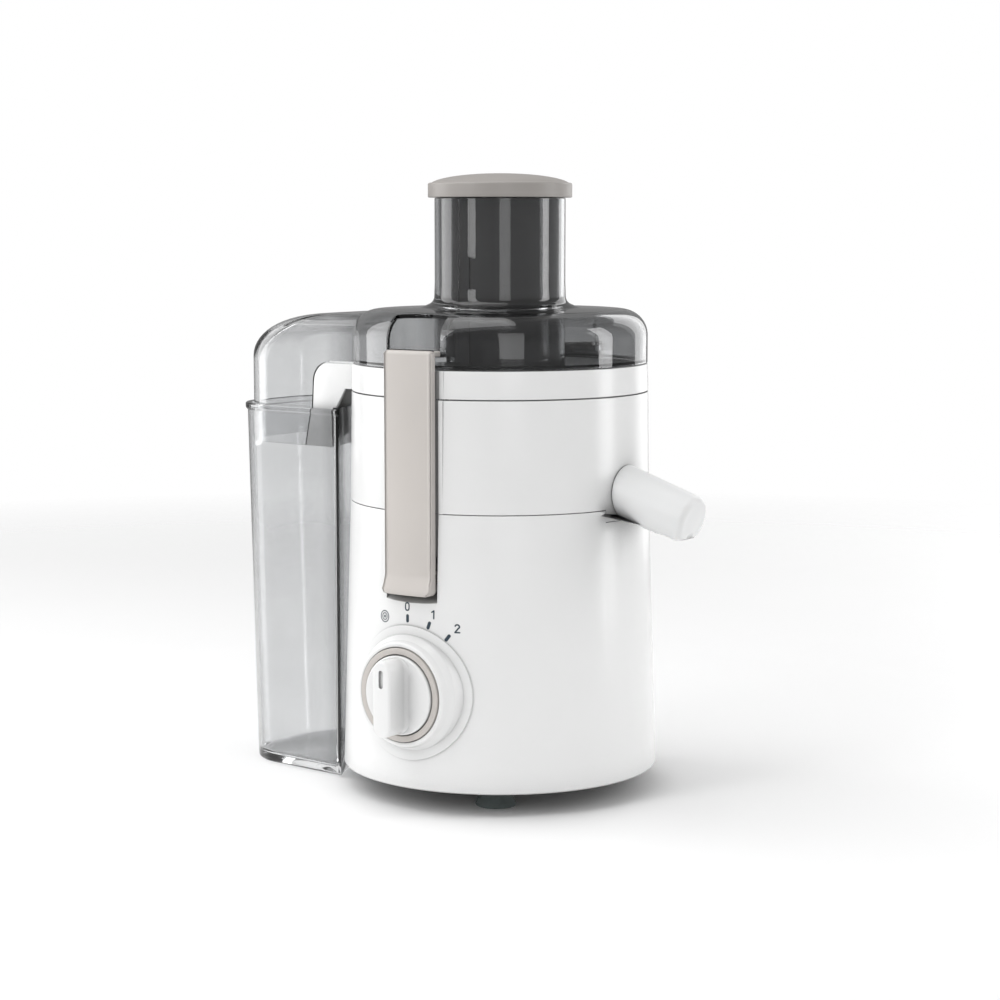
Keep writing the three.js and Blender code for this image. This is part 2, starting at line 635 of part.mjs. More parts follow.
// Hangs behind the cup on two posts, with a bore for the knob's spindle.
function speedSwitch() {
  const front = -CUP_FLOOR + 17;
  const low = KNOB_Z - 6;
  const high = KNOB_Z + 6;
  const body = box(-15, 15, front, front + 22, KNOB_Z - 15, KNOB_Z + 15);
  const bore = facingFront(cylinder(SPINDLE_R + 0.4, -front - 20, -front + 2, FINE));
  const ears = box(-24, 24, front, front + 3, low, high);
  const posts = box(-24, 24, -CUP_FLOOR + WALL + GAP, front + 2, low, high)
    .subtract(box(-18, 18, -FOOT_R, front + 8, low - 1, high + 1));
  return body.add(ears).add(posts).subtract(bore);
}

function knobSpindle() {
  const top = CUP_FLOOR + 3.6;
  const low = top - SPINDLE_LENGTH;
  return facingFront(turned([
    [0, low], [SPINDLE_R, low], [SPINDLE_R, top - 0.6], [SPINDLE_R - 0.6, top], [0, top],
  ], FINE));
}

function knob() {
  const disc = turned([
    [0, CUP_FLOOR + GAP], [KNOB_R, CUP_FLOOR + GAP], [KNOB_R, KNOB_FACE - 1], [KNOB_R - 1, KNOB_FACE],
    [0, KNOB_FACE],
  ], MEDIUM).add(cylinder(7.5, CUP_FLOOR - 12, CUP_FLOOR + 1));
  const straight = GRIP_LONG / 2 - GRIP_WIDE / 2;
  const outline = new THREE.Shape();
  outline.absarc(0, straight, GRIP_WIDE / 2, 0, Math.PI);
  outline.absarc(0, -straight, GRIP_WIDE / 2, Math.PI, 2 * Math.PI);
  outline.closePath();
  const grip = prism(outline, KNOB_FACE - 2, GRIP_FACE, 10);
  const slotTop = GRIP_LONG / 2 - 5.25;
  const slot = box(-1.4, 1.4, slotTop - 10, slotTop, GRIP_FACE - 0.8, GRIP_FACE + 1);
  const bore = cylinder(SPINDLE_R + 0.35, CUP_FLOOR - 14, CUP_FLOOR + 4, FINE);
  return facingFront(disc.add(grip).subtract(slot).subtract(bore));
}

function knobTrim() {
  return facingFront(ring([
    [KNOB_R + 0.6, CUP_FLOOR + GAP], [TRIM_R, CUP_FLOOR + GAP], [TRIM_R, CUP_FACE + 0.6],
    [TRIM_R - 0.8, CUP_FACE + 1.4], [KNOB_R + 0.6, CUP_FACE + 1.4],
  ], MEDIUM));
}

// The bowl presses this pin down onto the switch; the juicer runs only with the bowl in place.
function interlockPin() {
  const top = Z_NEST - 0.4;
  const flange = Z_DECK - 6.4;
  return turned([
    [0, Z_DECK - 14], [1.7, Z_DECK - 14], [1.7, flange], [4, flange], [4, flange + 1.8],
    [INTERLOCK_R, flange + 1.8], [INTERLOCK_R, top - 1], [1.2, top], [0, top],
  ], FINE).translate([INTERLOCK_X, INTERLOCK_Y, 0]);
}

function interlockSpring() {
  const low = Z_DECK - 16;
  const high = Z_DECK - 7.4;
  const turns = 3;
  const count = turns * 10;
  const path = new THREE.CatmullRomCurve3(Array.from({ length: count + 1 }, (_, i) => {
    const angle = 2 * Math.PI * turns * i / count;
    return new THREE.Vector3(3.1 * Math.cos(angle), 3.1 * Math.sin(angle), low + (high - low) * i / count);
  }));
  const wire = new THREE.Shape();
  wire.absarc(0, 0, 0.5, 0, 2 * Math.PI);
  const form = { extrudePath: path, steps: turns * 8, curveSegments: 2, bevelEnabled: false };
  return solid(new THREE.ExtrudeGeometry(wire, form).translate(INTERLOCK_X, INTERLOCK_Y, 0));
}

// Hangs from the deck on two arms, below the pin.
function interlockSwitch() {
  const hung = box(-9, 9, -6, 6, Z_DECK - 32, Z_UNDER_DECK - GAP)
    .subtract(box(-6.5, 6.5, -7, 7, Z_DECK - 17, Z_DECK));
  return hung.translate([INTERLOCK_X, INTERLOCK_Y, 0]);
}

// Stands on the base plate, with a choke and a capacitor.
function filterBoard() {
  const back = FOOT_R - 33;
  const board = box(-22, 22, back, back + 1.6, Z_PLATE + GAP, Z_PLATE + 46);
  const choke = box(-14, 14, back + 1, back + 12, Z_PLATE + 14, Z_PLATE + 32);
  const capacitor = box(-20, -8, back + 1, back + 8, Z_PLATE + 35, Z_PLATE + 42);
  return board.add(choke).add(capacitor);
}

// ---------------------------------------------------------------- clamps

// A curved plate with a hook over the lid's ledge, a knuckle on the pin and a flared lip to pull.
function clamp() {
  const top = Z_LEDGE + GAP + CLAMP_HOOK;
  const foot = CLAMP_FOOT;
  const lipR = CLAMP_R + CLAMP_LIP;
  const lip = turned([[0, foot], [lipR, foot], [lipR, foot + 2], [CLAMP_R, foot + 10], [0, foot + 10]], SKIN);
  const slice = box(-CLAMP_HALF, CLAMP_HALF, -lipR - 1, -CLAMP_BACK, foot, top);
  const hollow = box(-CLAMP_HALF + 2.6, CLAMP_HALF - 2.6, -CLAMP_R + 2.8, -CLAMP_BACK + 1,
    PIVOT_Z + 8, Z_LEDGE - 4);
  const plate = cylinder(CLAMP_R, foot + 10, top, SKIN).add(lip).intersect(slice).subtract(hollow);
  const hook = box(-CLAMP_HALF + 0.6, CLAMP_HALF - 0.6, -CLAMP_BACK - 2, -POCKET_Y - 3, Z_LEDGE + GAP, top);
  const knuckle = cylinder(KNUCKLE_R, -CLAMP_HALF + 2, CLAMP_HALF - 2, SMALL);
  const bore = cylinder(PIN_R + PIN_PLAY, -CLAMP_HALF - 1, CLAMP_HALF + 1, FINE);
  return plate.add(hook).add(acrossPivot(knuckle)).subtract(acrossPivot(bore));
}

function clampPin() {
  const half = CHANNEL_HALF + 2.6;
  return acrossPivot(cylinder(PIN_R, -half, half, FINE));
}

// ---------------------------------------------------------------- juice bowl and spout

// Lays a piece turned about +Z along the spout's axis, starting where it leaves the bowl.
function alongSpout(shape) {
  const tilt = 90 + THREE.MathUtils.radToDeg(SPOUT_SLOPE);
  return shape.rotate([0, tilt, 0]).translate([BODY_R, 0, Z_BOWL + SPOUT_RISE]);
}

function juiceBowl() {
  const top = Z_COLLAR - GAP;
  const low = Z_BOWL + GAP;
  const floorTop = Z_NEST + 3;
  const chimneyTop = Z_BOWL + CHIMNEY_TOP;
  let bowl = ring([
    [BODY_R, low], [COLLAR_R, top], [COLLAR_R - WALL + 0.4, top], [BODY_R - WALL, low + 4],
    [NEST_R - WALL, low], [NEST_R - WALL, floorTop], [CHIMNEY_R + CHIMNEY_WALL, floorTop],
    [CHIMNEY_R + CHIMNEY_WALL, chimneyTop], [CHIMNEY_R, chimneyTop], [CHIMNEY_R, Z_NEST], [NEST_R, Z_NEST],
    [NEST_R, low],
  ]);
  bowl = withChannels(bowl, BODY_R, low, top);
  const tab = box(NEST_R - 2, BODY_R + 1, -TAB_HALF, TAB_HALF, Z_BOWL - TAB_DROP, Z_BOWL + 3)
    .intersect(cylinder(BODY_R, Z_NEST - 2, Z_BOWL + 4, ROUND));
  const neckHole = alongSpout(cylinder(SPOUT_NECK_R + GAP, -9, 12, SLENDER));
  const drain = alongSpout(cylinder(SPOUT_BORE_R, -26, 2, SLENDER))
    .intersect(box(0, BODY_R, -40, 40, Z_NEST + 1.2, Z_COLLAR));
  return bowl.add(tab).subtract(neckHole).subtract(drain);
}

// A tapered tube closed at its end, with a neck in the bowl's wall and a mouth under the tip.
function juiceSpout() {
  const tip = SPOUT_LENGTH;
  const roundEnd = arc(SPOUT_TIP_R - SPOUT_EDGE, tip - SPOUT_EDGE, SPOUT_EDGE, SPOUT_EDGE, 30, 90, 3);
  const shell = alongSpout(turned([
    [0, -10], [SPOUT_R, -10], [SPOUT_TIP_R, tip - SPOUT_EDGE], ...roundEnd, [0, tip],
  ], SLENDER));
  const reach = tip - SPOUT_MOUTH_BACK;
  const mouthX = BODY_R + reach * Math.cos(SPOUT_SLOPE);
  const mouthZ = Z_BOWL + SPOUT_RISE - reach * Math.sin(SPOUT_SLOPE);
  const lowest = mouthZ - SPOUT_TIP_R;
  const bodyCut = cylinder(BODY_R + GAP, 0, Z_LID, ROUND);
  const neck = alongSpout(cylinder(SPOUT_NECK_R, -6, 4, SLENDER));
  const bore = alongSpout(turned([
    [0, -20], [SPOUT_BORE_R, -20], [SPOUT_BORE_R, tip - 8], [SPOUT_BORE_R - 4, tip - 2.4], [0, tip - 2.4],
  ], SLENDER));
  const mouth = cylinder(SPOUT_MOUTH_R, lowest - 6, mouthZ, SMALL).translate([mouthX, 0, 0]);
  const under = box(0, 2 * FOOT_R, -FOOT_R, FOOT_R, lowest - 40, lowest);
  return shell.subtract(bodyCut).add(neck).subtract(bore).subtract(mouth).subtract(under);
}

function bowlSeal() {
  const innerR = HUB_R + GAP;
  const outerR = CHIMNEY_R - GAP;
  return ring([[innerR, Z_BOWL], [outerR, Z_BOWL], [outerR, Z_BOWL + 3], [innerR, Z_BOWL + 3]], MEDIUM);
}

// ---------------------------------------------------------------- strainer

// Plate with a socket for the coupling, and a skirt around the bowl's inner tube that sheds juice.
function strainerHub() {
  const socketLow = Z_BOWL + HUB_TOP + 4;
  const socketR = 12.5;
  const plate = DISC_Z - GAP;
  const skirtR = CHIMNEY_R + 6;
  const skirtLow = Z_BOWL + 10;
  const rimR = BASKET_LOW_R - BASKET_WALL - GAP;
  const body = ring([
    [socketR, socketLow], [socketR, plate - 3], [skirtR, plate - 3], [skirtR, skirtLow],
    [skirtR + 2, skirtLow], [skirtR + 2, plate - 4], [rimR, plate - 4], [rimR, plate], [SHAFT_R, plate],
    [SHAFT_R, socketLow],
  ], MEDIUM);
  return body.subtract(prism(starOutline(GAP + 0.05), socketLow - 1, socketLow + 9));
}

// A flat disc with rings of small pointed teeth.
function gratingDisc() {
  const top = DISC_Z + DISC_THICK;
  const pitch = (DISC_R - 10.5) / 3;
  let disc = cylinder(DISC_R - 1, DISC_Z, top, MEDIUM);
  for (let row = 1; row <= 3; row++) {
    const count = 4 + 4 * row;
    for (let i = 0; i < count; i++) {
      const cone = new THREE.ConeGeometry(1.4, 3.6, 4).rotateX(Math.PI / 2);
      const tooth = solid(cone).translate([pitch * row + 2, 0, top + 0.8]);
      disc = disc.add(tooth.rotate([0, 0, 360 * (i + row / 3) / count]));
    }
  }
  return disc;
}

function strainerBasket() {
  const low = DISC_Z - GAP - 4;
  const bend = BASKET_TOP - 4;
  const top = BASKET_TOP - GAP;
  const r = BASKET_TOP_R;
  return ring([
    [BASKET_LOW_R, low], [r, bend], [r, top], [r - BASKET_WALL, top], [r - BASKET_WALL, bend],
    [BASKET_LOW_R - BASKET_WALL, low],
  ], MEDIUM);
}

function strainerRim() {
  const r = BASKET_TOP_R;
  const top = BASKET_TOP;
  return ring([
    [r + GAP, top - 4], [r + 2, top - 4], [r + 3, top - 0.5], [r + 10, top + 0.5], [r + 10, top + 2.5],
    [r - 2, top + 2.5], [r - 2, top], [r + GAP, top],
  ], MEDIUM);
}

// ---------------------------------------------------------------- collar with its chute

// Side view of the chute's arm: level over the tank's rim, then down inside the tank.
function armProfile(play) {
  const rimX = -COLLAR_R * 0.6;
  const outerX = -(TANK_NEAR_R + 7.7);
  const top = ARM_TOP + play;
  const nearX = -(TANK_NEAR_R - 11);
  return polygon([
    [rimX, top], [outerX + 13, top], [outerX + 8, top - 1.4], [outerX + 4.5, top - 4.6],
    [outerX + 2.3 - play, top - 10.6], [outerX - play, TANK_TOP], [outerX - 5 - play, CHUTE_LOW - play],
    [nearX + play, CHUTE_LOW - play], [nearX + play, TANK_TOP], [nearX + 7.7 + play, Z_COLLAR + GAP],
    [rimX, Z_COLLAR + GAP],
  ]);
}

// Ring that carries the lid, with a shelf and a raised lip around the strainer's rim.
function collarRing() {
  const low = Z_COLLAR + GAP;
  const innerR = COLLAR_R - WALL;
  const shelf = low + 2.3;
  const lipR = BASKET_TOP_R + 4.5;
  const lipTop = BASKET_TOP - 2.6;
  const collar = ring([
    [COLLAR_R, low], [COLLAR_R - 0.3, Z_LID - 0.4], [COLLAR_R - 0.7, Z_LID], [innerR, Z_LID], [innerR, shelf],
    [lipR + 2.4, shelf], [lipR + 2.4, lipTop], [lipR, lipTop], [lipR, low],
    [innerR - 2.4, low], [innerR - 2.4, low - 5], [innerR - 0.3, low - 5], [innerR - 0.3, low],
  ]);
  const skirtCut = bothSides(box(-22, 22, -COLLAR_R - 1, -COLLAR_R + 12, low - 6, low));
  return withChannels(collar.subtract(skirtCut), COLLAR_R, low, Z_LID);
}

// The collar and its chute: two side walls, a floor over the tank's rim and a skirt down inside it.
function chuteCollar() {
  const low = Z_COLLAR + GAP;
  const shelf = low + 2.3;
  const innerR = COLLAR_R - WALL;
  const under = CHUTE_LOW - 1;
  const plan = withinOutline(CHUTE_INSET, CHUTE_LOW, ARM_TOP);
  const clear = withinOutline(CHUTE_INSET + CHUTE_WALL, under, Z_LID + 1);
  const walls = plan.subtract(clear).intersect(sideways(armProfile(0), BODY_R))
    .subtract(cylinder(COLLAR_R - 1, under, Z_LID + 1, ROUND))
    .subtract(cylinder(CHUTE_NEAR_R, under, TANK_TOP + 2 * GAP, ROUND))
    .subtract(cylinder(BODY_R + 2 * GAP, under, low, ROUND));
  const skirtR = CHUTE_NEAR_R + 2.2;
  const skirt = ring([
    [CHUTE_NEAR_R, CHUTE_LOW], [skirtR, CHUTE_LOW], [skirtR, shelf], [CHUTE_NEAR_R, shelf],
  ]);
  const floorR = CHUTE_NEAR_R + 1;
  const floor = ring([[innerR - 1, low], [floorR, low], [floorR, shelf], [innerR - 1, shelf]]);
  const passage = clear.intersect(box(-COLLAR_R - 3, 0, -FOOT_R, FOOT_R, shelf, Z_LID + 1));
  return collarRing().subtract(passage).add(walls).add(skirt.intersect(plan)).add(floor.intersect(plan));
}

// ---------------------------------------------------------------- lid

// The hood over the tank, drawn inward by inset.
function hood(inset, low) {
  const far = TANK_FAR_X + CHUTE_INSET + inset;
  const top = Z_LID_TOP - HOOD_DROP - inset;
  const rootX = -TUBE_R - 6.8;
  const side = polygon([
    [far, low], ...arc(far + HOOD_SWEEP, top - HOOD_FALL, HOOD_SWEEP, HOOD_FALL, 180, 90, 9),
    [LID_SHOULDER - LID_R + 0.5, top + 1.6], [rootX, top + 2], [rootX, low],
  ]);
  const half = tankHalfWidth(-BODY_R) - CHUTE_INSET - inset;
  const r = HOOD_SHOULDER;
  const across = polygon([
    [-half - 5, low], ...arc(-half + r, top + 3 - r, r, r, 180, 90, 4),
    ...arc(half - r, top + 3 - r, r, r, 90, 0, 4), [half + 5, low],
  ]);
  const lengthwise = sideways(across, 2 * FOOT_R).rotate([0, 0, 90]);
  return withinOutline(CHUTE_INSET + inset, low, Z_LID_TOP).intersect(sideways(side, BODY_R, 4))
    .intersect(lengthwise);
}

// The dome with the feed tube standing on it, both filled.
function domeBody() {
  const flat = LID_R - LID_SHOULDER;
  const bend = Z_LID_TOP - LID_SHOULDER;
  return turned([
    [0, Z_LID + GAP], [LID_R, Z_LID + GAP], ...arc(flat, bend, LID_SHOULDER, LID_SHOULDER, 0, 90, 6),
    [TUBE_R + 6, Z_LID_TOP + 1.4], [TUBE_R + 2, Z_LID_TOP + 3.4], [TUBE_R + 0.4, Z_LID_TOP + 8],
    [TUBE_R, Z_TUBE_TOP], [0, Z_TUBE_TOP],
  ]);
}

function domeCavity() {
  const inner = LID_SHOULDER - LID_WALL;
  return turned([
    [0, Z_LID - 1], [LID_R - LID_WALL, Z_LID - 1],
    ...arc(LID_R - LID_SHOULDER, Z_LID_TOP - LID_SHOULDER, inner, inner, 0, 90, 5),
    [0, Z_LID_TOP - LID_WALL + 0.6],
  ]);
}

// Skirt inside the collar, left out at the clamps and over the chute.
function lidSkirt() {
  const low = Z_LID + GAP;
  const r = LID_R - 1.5;
  const skirt = ring([[r - 3.5, low - 5], [r - 1.4, low - 5], [r - 1.4, low - 0.5], [r, low], [r, low + 3],
    [r - 3.5, low + 1]]);
  return skirt.subtract(bothSides(box(-22, 22, -BODY_R, -BODY_R + 14, low - 6, low)))
    .subtract(withinOutline(CHUTE_INSET - 0.4, low - 6, low + 4));
}

function lid() {
  const low = Z_LID + GAP;
  const hoodCut = cylinder(CHUTE_NEAR_R + 2.6, CHUTE_LOW - 1, low, ROUND);
  const shell = domeBody().add(hood(0, CHUTE_LOW).subtract(hoodCut));

  // Pockets for the clamp hooks, front and back, with a ledge as floor.
  const half = CLAMP_HALF + 1.4;
  const high = Z_LID_TOP + 4;
  const pocket = bothSides(box(-half, half, -BODY_R - 4, -POCKET_Y, Z_LEDGE, high));
  const around = bothSides(box(-half - LID_WALL, half + LID_WALL, -BODY_R - 4, -POCKET_Y + LID_WALL,
    Z_LEDGE - LID_WALL, high));

  // Feed tube, down into the strainer, with a key for the pusher's groove.
  const boreR = TUBE_R - TUBE_WALL;
  const tube = ring([[boreR, TUBE_END], [TUBE_R, TUBE_END], [TUBE_R, Z_LID_TOP], [boreR, Z_LID_TOP]]);
  const bore = cylinder(boreR, TUBE_END - 1, Z_TUBE_TOP + 1, ROUND);
  const beside = cylinder(TUBE_R - 0.1, TUBE_END - 1, Z_LID_TOP + 1, ROUND);
  const key = box(-KEY_WIDTH / 2, KEY_WIDTH / 2, -TUBE_R + 1, -boreR + KEY_DEPTH, TUBE_END, Z_TUBE_TOP);

  const cavity = domeCavity().add(hood(LID_WALL, CHUTE_LOW - 1)).subtract(around).subtract(beside);
  const armCut = sideways(armProfile(0.5), BODY_R).intersect(withinOutline(0, CHUTE_LOW - 2, low - 0.2));
  return shell.subtract(cavity).subtract(pocket).add(lidSkirt()).add(tube).subtract(bore).add(key)
    .subtract(armCut);
}

// ---------------------------------------------------------------- pulp tank and pusher

// The tank's outline raised, with its far side leaning in toward the body at the bottom.
function taperedOutline(inset, low, high) {
  const form = { depth: high - low, bevelEnabled: false };
  const raised = new THREE.ExtrudeGeometry(tankOutline(inset), form).translate(0, 0, low);
  const place = raised.attributes.position;
  for (let i = 0; i < place.count; i++) {
    const outward = Math.max(0, -place.getX(i) - TANK_NEAR_R) / TANK_DEPTH;
    const downward = (TANK_TOP - place.getZ(i)) / (TANK_TOP - TANK_CLEAR);
    place.setX(i, place.getX(i) + TANK_TAPER * outward * downward);
  }
  return solid(raised);
}

function pulpTank() {
  const outer = taperedOutline(TANK_FLARE, TANK_CLEAR, TANK_TOP);
  const hollow = taperedOutline(TANK_FLARE + TANK_WALL, TANK_CLEAR + TANK_FLOOR, TANK_TOP + 1);
  const bead = withinOutline(0, TANK_TOP - TANK_BEAD, TANK_TOP)
    .subtract(withinOutline(TANK_WALL, TANK_TOP - TANK_BEAD - 1, TANK_TOP + 1));
  const near = cylinder(TANK_NEAR_R, TANK_CLEAR - 1, TANK_TOP + 1, ROUND);
  const nearInner = cylinder(TANK_NEAR_R + TANK_WALL, TANK_CLEAR - 1, TANK_TOP + 2, ROUND);
  return outer.add(bead).subtract(near).subtract(hollow.subtract(nearInner));
}

// An open cup that slides in the feed tube, with a groove for the tube's key.
function pusherBody() {
  const r = TUBE_R - TUBE_WALL - PUSHER_PLAY;
  const innerR = r - PUSHER_WALL;
  const low = TUBE_END + 1;
  const floor = low + 2.6;
  const body = turned([
    [0, low], [r - 1.5, low], [r, low + 1.5], [r, Z_TUBE_TOP], [innerR, Z_TUBE_TOP], [innerR, floor],
    [0, floor],
  ], MEDIUM);
  const half = KEY_WIDTH / 2 + PUSHER_PLAY;
  return body.subtract(box(-half, half, -r - 1, -r + KEY_DEPTH + 0.1, low - 1, Z_TUBE_TOP + 1));
}

function pusherCap() {
  const low = Z_TUBE_TOP + GAP;
  return turned([
    [0, low], [CAP_R, low], [CAP_R, low + CAP_EDGE - 1.6], [CAP_R - 1.6, low + CAP_EDGE],
    ...arc(0, low + CAP_EDGE, CAP_R - 1.8, CAP_CROWN, 10, 90, 6),
  ], MEDIUM);
}

// ---------------------------------------------------------------- assembly

function part(name, shape, material) {
  const mesh = new THREE.Mesh(geometryOf(shape), material.clone());
  mesh.name = name;
  return mesh;
}

function assembly(...pieces) {
  const group = new THREE.Group();
  group.add(...pieces);
  return group;
}

const bases = assembly(
  part('base_housing', baseHousing(), WHITE),
  part('base_plate', basePlate(), DARK),
  part('mains_inlet', mainsInlet(), RUBBER),
  part('knob_trim', knobTrim(), WARM),
  part('speed_switch', speedSwitch(), BLACK),
  part('interlock_switch', interlockSwitch(), BLACK),
  part('interlock_pin', interlockPin(), WARM),
  part('interlock_spring', interlockSpring(), STEEL),
  part('filter_board', filterBoard(), BOARD),
  part('shaft_seal', shaftSeal(), RUBBER),
);
const footNames = ['foot_front_right', 'foot_back_right', 'foot_front_left', 'foot_back_left'];
feetPlaces().forEach(([x, y], i) => {
  const foot = part(footNames[i], suctionFoot(), RUBBER);
  foot.position.set(x, y, 0);
  bases.add(foot);
});
for (let i = 0; i < SCREWS; i++) {
  const screw = part(`base_screw_${i + 1}`, baseScrew(), STEEL);
  const angle = 2 * Math.PI * (i + 0.5) / SCREWS;
  screw.position.set(SCREW_RING * Math.cos(angle), SCREW_RING * Math.sin(angle), 0);
  bases.add(screw);
}

const motor = assembly(
  part('stator_core', statorCore(), IRON),
  part('field_coil_right', fieldCoil(1), COPPER),
  part('field_coil_left', fieldCoil(-1), COPPER),
  part('upper_bracket', upperBracket(), IRON),
  part('lower_bracket', lowerBracket(), IRON),
  part('upper_bearing', bearing(BEARING_R, MOTOR_TOP - 2.6, MOTOR_TOP + 4.4), STEEL),
  part('lower_bearing', bearing(LOWER_BEARING_R, BRACKET_LOW - 6.6, BRACKET_LOW - 1), STEEL),
  part('armature', armature(), IRON),
  part('commutator', commutator(), COPPER),
  part('motor_shaft', motorShaft(), STEEL),
  part('cooling_fan', coolingFan(), BLACK),
  part('drive_coupling', driveCoupling(), DARK),
);
for (const [name, turn] of [['front', 0], ['back', Math.PI]]) {
  const pair = assembly(
    part(`brush_holder_${name}`, brushHolder(), BRASS),
    part(`carbon_brush_${name}`, carbonBrush(), BLACK),
    part(`clamp_${name}`, clamp(), WARM),
    part(`clamp_pin_${name}`, clampPin(), STEEL),
  );
  pair.rotation.z = turn;
  motor.add(pair);
}
[[-1, -1], [-1, 1], [1, -1], [1, 1]].forEach(([sx, sy], i) => {
  const mount = part(`motor_mount_${i + 1}`, rubberMount(), RUBBER);
  mount.position.set(sx * MOUNT_X, sy * MOUNT_Y, 0);
  motor.add(mount);
});

const dial = assembly(
  part('knob', knob(), WHITE),
  part('knob_spindle', knobSpindle(), STEEL),
);

const juicing = assembly(
  part('juice_bowl', juiceBowl(), WHITE),
  part('juice_spout', juiceSpout(), FROST),
  part('bowl_seal', bowlSeal(), RUBBER),
  part('chute_collar', chuteCollar(), WHITE),
  part('strainer_hub', strainerHub(), WHITE),
  part('grating_disc', gratingDisc(), STEEL),
  part('strainer_basket', strainerBasket(), STEEL),
  part('strainer_rim', strainerRim(), WHITE),
  part('lid', lid(), SMOKE),
  part('pulp_tank', pulpTank(), SMOKE),
  part('pusher_body', pusherBody(), DARK),
  part('pusher_cap', pusherCap(), CAP_GREY),
);

// The origin is the middle of the footprint, on the surface the juicer stands on.
const machine = assembly(bases, motor, dial, juicing);
const extent = new THREE.Box3().setFromObject(machine);
machine.position.set(-(extent.min.x + extent.max.x) / 2, -(extent.min.y + extent.max.y) / 2, 0);

const group = assembly(machine);
export default group;
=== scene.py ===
"""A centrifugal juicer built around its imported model, with fine shells, finishes, studio and camera.

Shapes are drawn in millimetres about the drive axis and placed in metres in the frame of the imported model.
"""
import logging
import math
from dataclasses import dataclass, field
from enum import Enum

import bmesh
import bpy
from bpy.types import Material, Node, NodeSocket, Object
from mathutils import Matrix, Vector


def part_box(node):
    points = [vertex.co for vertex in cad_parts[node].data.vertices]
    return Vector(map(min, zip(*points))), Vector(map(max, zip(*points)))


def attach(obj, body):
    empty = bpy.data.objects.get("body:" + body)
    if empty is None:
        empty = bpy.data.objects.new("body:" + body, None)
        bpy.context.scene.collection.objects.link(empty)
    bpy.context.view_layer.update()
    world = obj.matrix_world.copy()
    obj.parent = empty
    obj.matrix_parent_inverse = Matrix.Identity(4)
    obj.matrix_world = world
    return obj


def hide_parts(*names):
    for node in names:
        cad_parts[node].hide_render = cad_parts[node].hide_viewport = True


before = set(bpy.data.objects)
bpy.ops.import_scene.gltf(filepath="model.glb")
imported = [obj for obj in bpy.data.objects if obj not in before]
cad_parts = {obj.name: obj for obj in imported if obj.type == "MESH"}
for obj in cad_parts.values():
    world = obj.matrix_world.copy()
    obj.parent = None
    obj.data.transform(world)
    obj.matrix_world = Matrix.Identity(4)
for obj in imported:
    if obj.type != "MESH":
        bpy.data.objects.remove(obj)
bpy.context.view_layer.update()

logging.basicConfig(level=logging.INFO, format="%(message)s")
log = logging.getLogger("juicer")

Point = tuple[float, float]
Colour = tuple[float, float, float]
MM = 0.001

# Facets of a full turn.
FINE_TURN = 256
MID_TURN = 128
SMALL_TURN = 48

# Sizes that several pieces share, in millimetres.
GAP = 0.3  # between pieces that seat on each other
PAST = 1.0  # how far a cut runs past the face that it opens
DECK_DROP = 10.0  # from the base's rim down to its deck
TUBE_END_RISE = 7.0  # from the lid's lowest edge up to the end of the feed tube
PIN_INSET = 4.0  # from the wall in to the clamps' pins
PIN_WAY_R = 1.85  # radius of the holes for the clamps' pins
HOOK_REACH = 10.5  # from the lid's wall in to the back of the pockets for the hooks
CUP_RISE = 6.5  # from the foot's radius out to the face of the knob's cup
SKIRT_OUT = 6.5  # from the foot's radius out to the chute's skirt
INLET_RISE = 21.0  # from the bottom up to the mains inlet
SPOUT_RISE = 8.8  # from the bowl's lower edge up to the spout's axis at the wall
STRAINER_IN = 24.0  # from the body's radius in to the strainer's rim


class Cut(Enum):
    """How two solids are put together."""

    JOIN = "UNION"
    TAKE = "DIFFERENCE"
    COMMON = "INTERSECT"


class Body(Enum):
    """The bodies that move against each other."""

    BASE = "base"
    DRIVE = "drive"
    KNOB = "knob"
    CLAMP_FRONT = "clamp_front"
    CLAMP_BACK = "clamp_back"
    TANK = "pulp_tank"
    PUSHER = "pusher"
    INTERLOCK = "interlock"


class Slot(Enum):
    """The material slots of the part's record."""

    WHITE = "white_plastic"
    FROST = "frosted_plastic"
    SMOKE = "smoke_clear"
    WARM = "warm_grey_plastic"
    CAP = "cap_grey_plastic"
    DARK = "dark_plastic"
    RUBBER = "rubber"
    STEEL = "steel"
    IRON = "motor_iron"
    COPPER = "copper"
    BRASS = "brass"
    BLACK = "black_plastic"
    BOARD = "circuit_board"


# ---------------------------------------------------------------- outlines and solids


def arc(centre: Point, radii: Point, start: float, end: float, steps: int) -> list[Point]:
    """Points along part of an ellipse.

    Args:
        centre: its middle.
        radii: its two half axes.
        start: first angle in degrees.
        end: last angle in degrees.
        steps: how many straight pieces stand for it.

    Returns:
        The points, both ends included.
    """
    angles = [math.radians(start + (end - start) * i / steps) for i in range(steps + 1)]
    return [(centre[0] + radii[0] * math.cos(a), centre[1] + radii[1] * math.sin(a)) for a in angles]


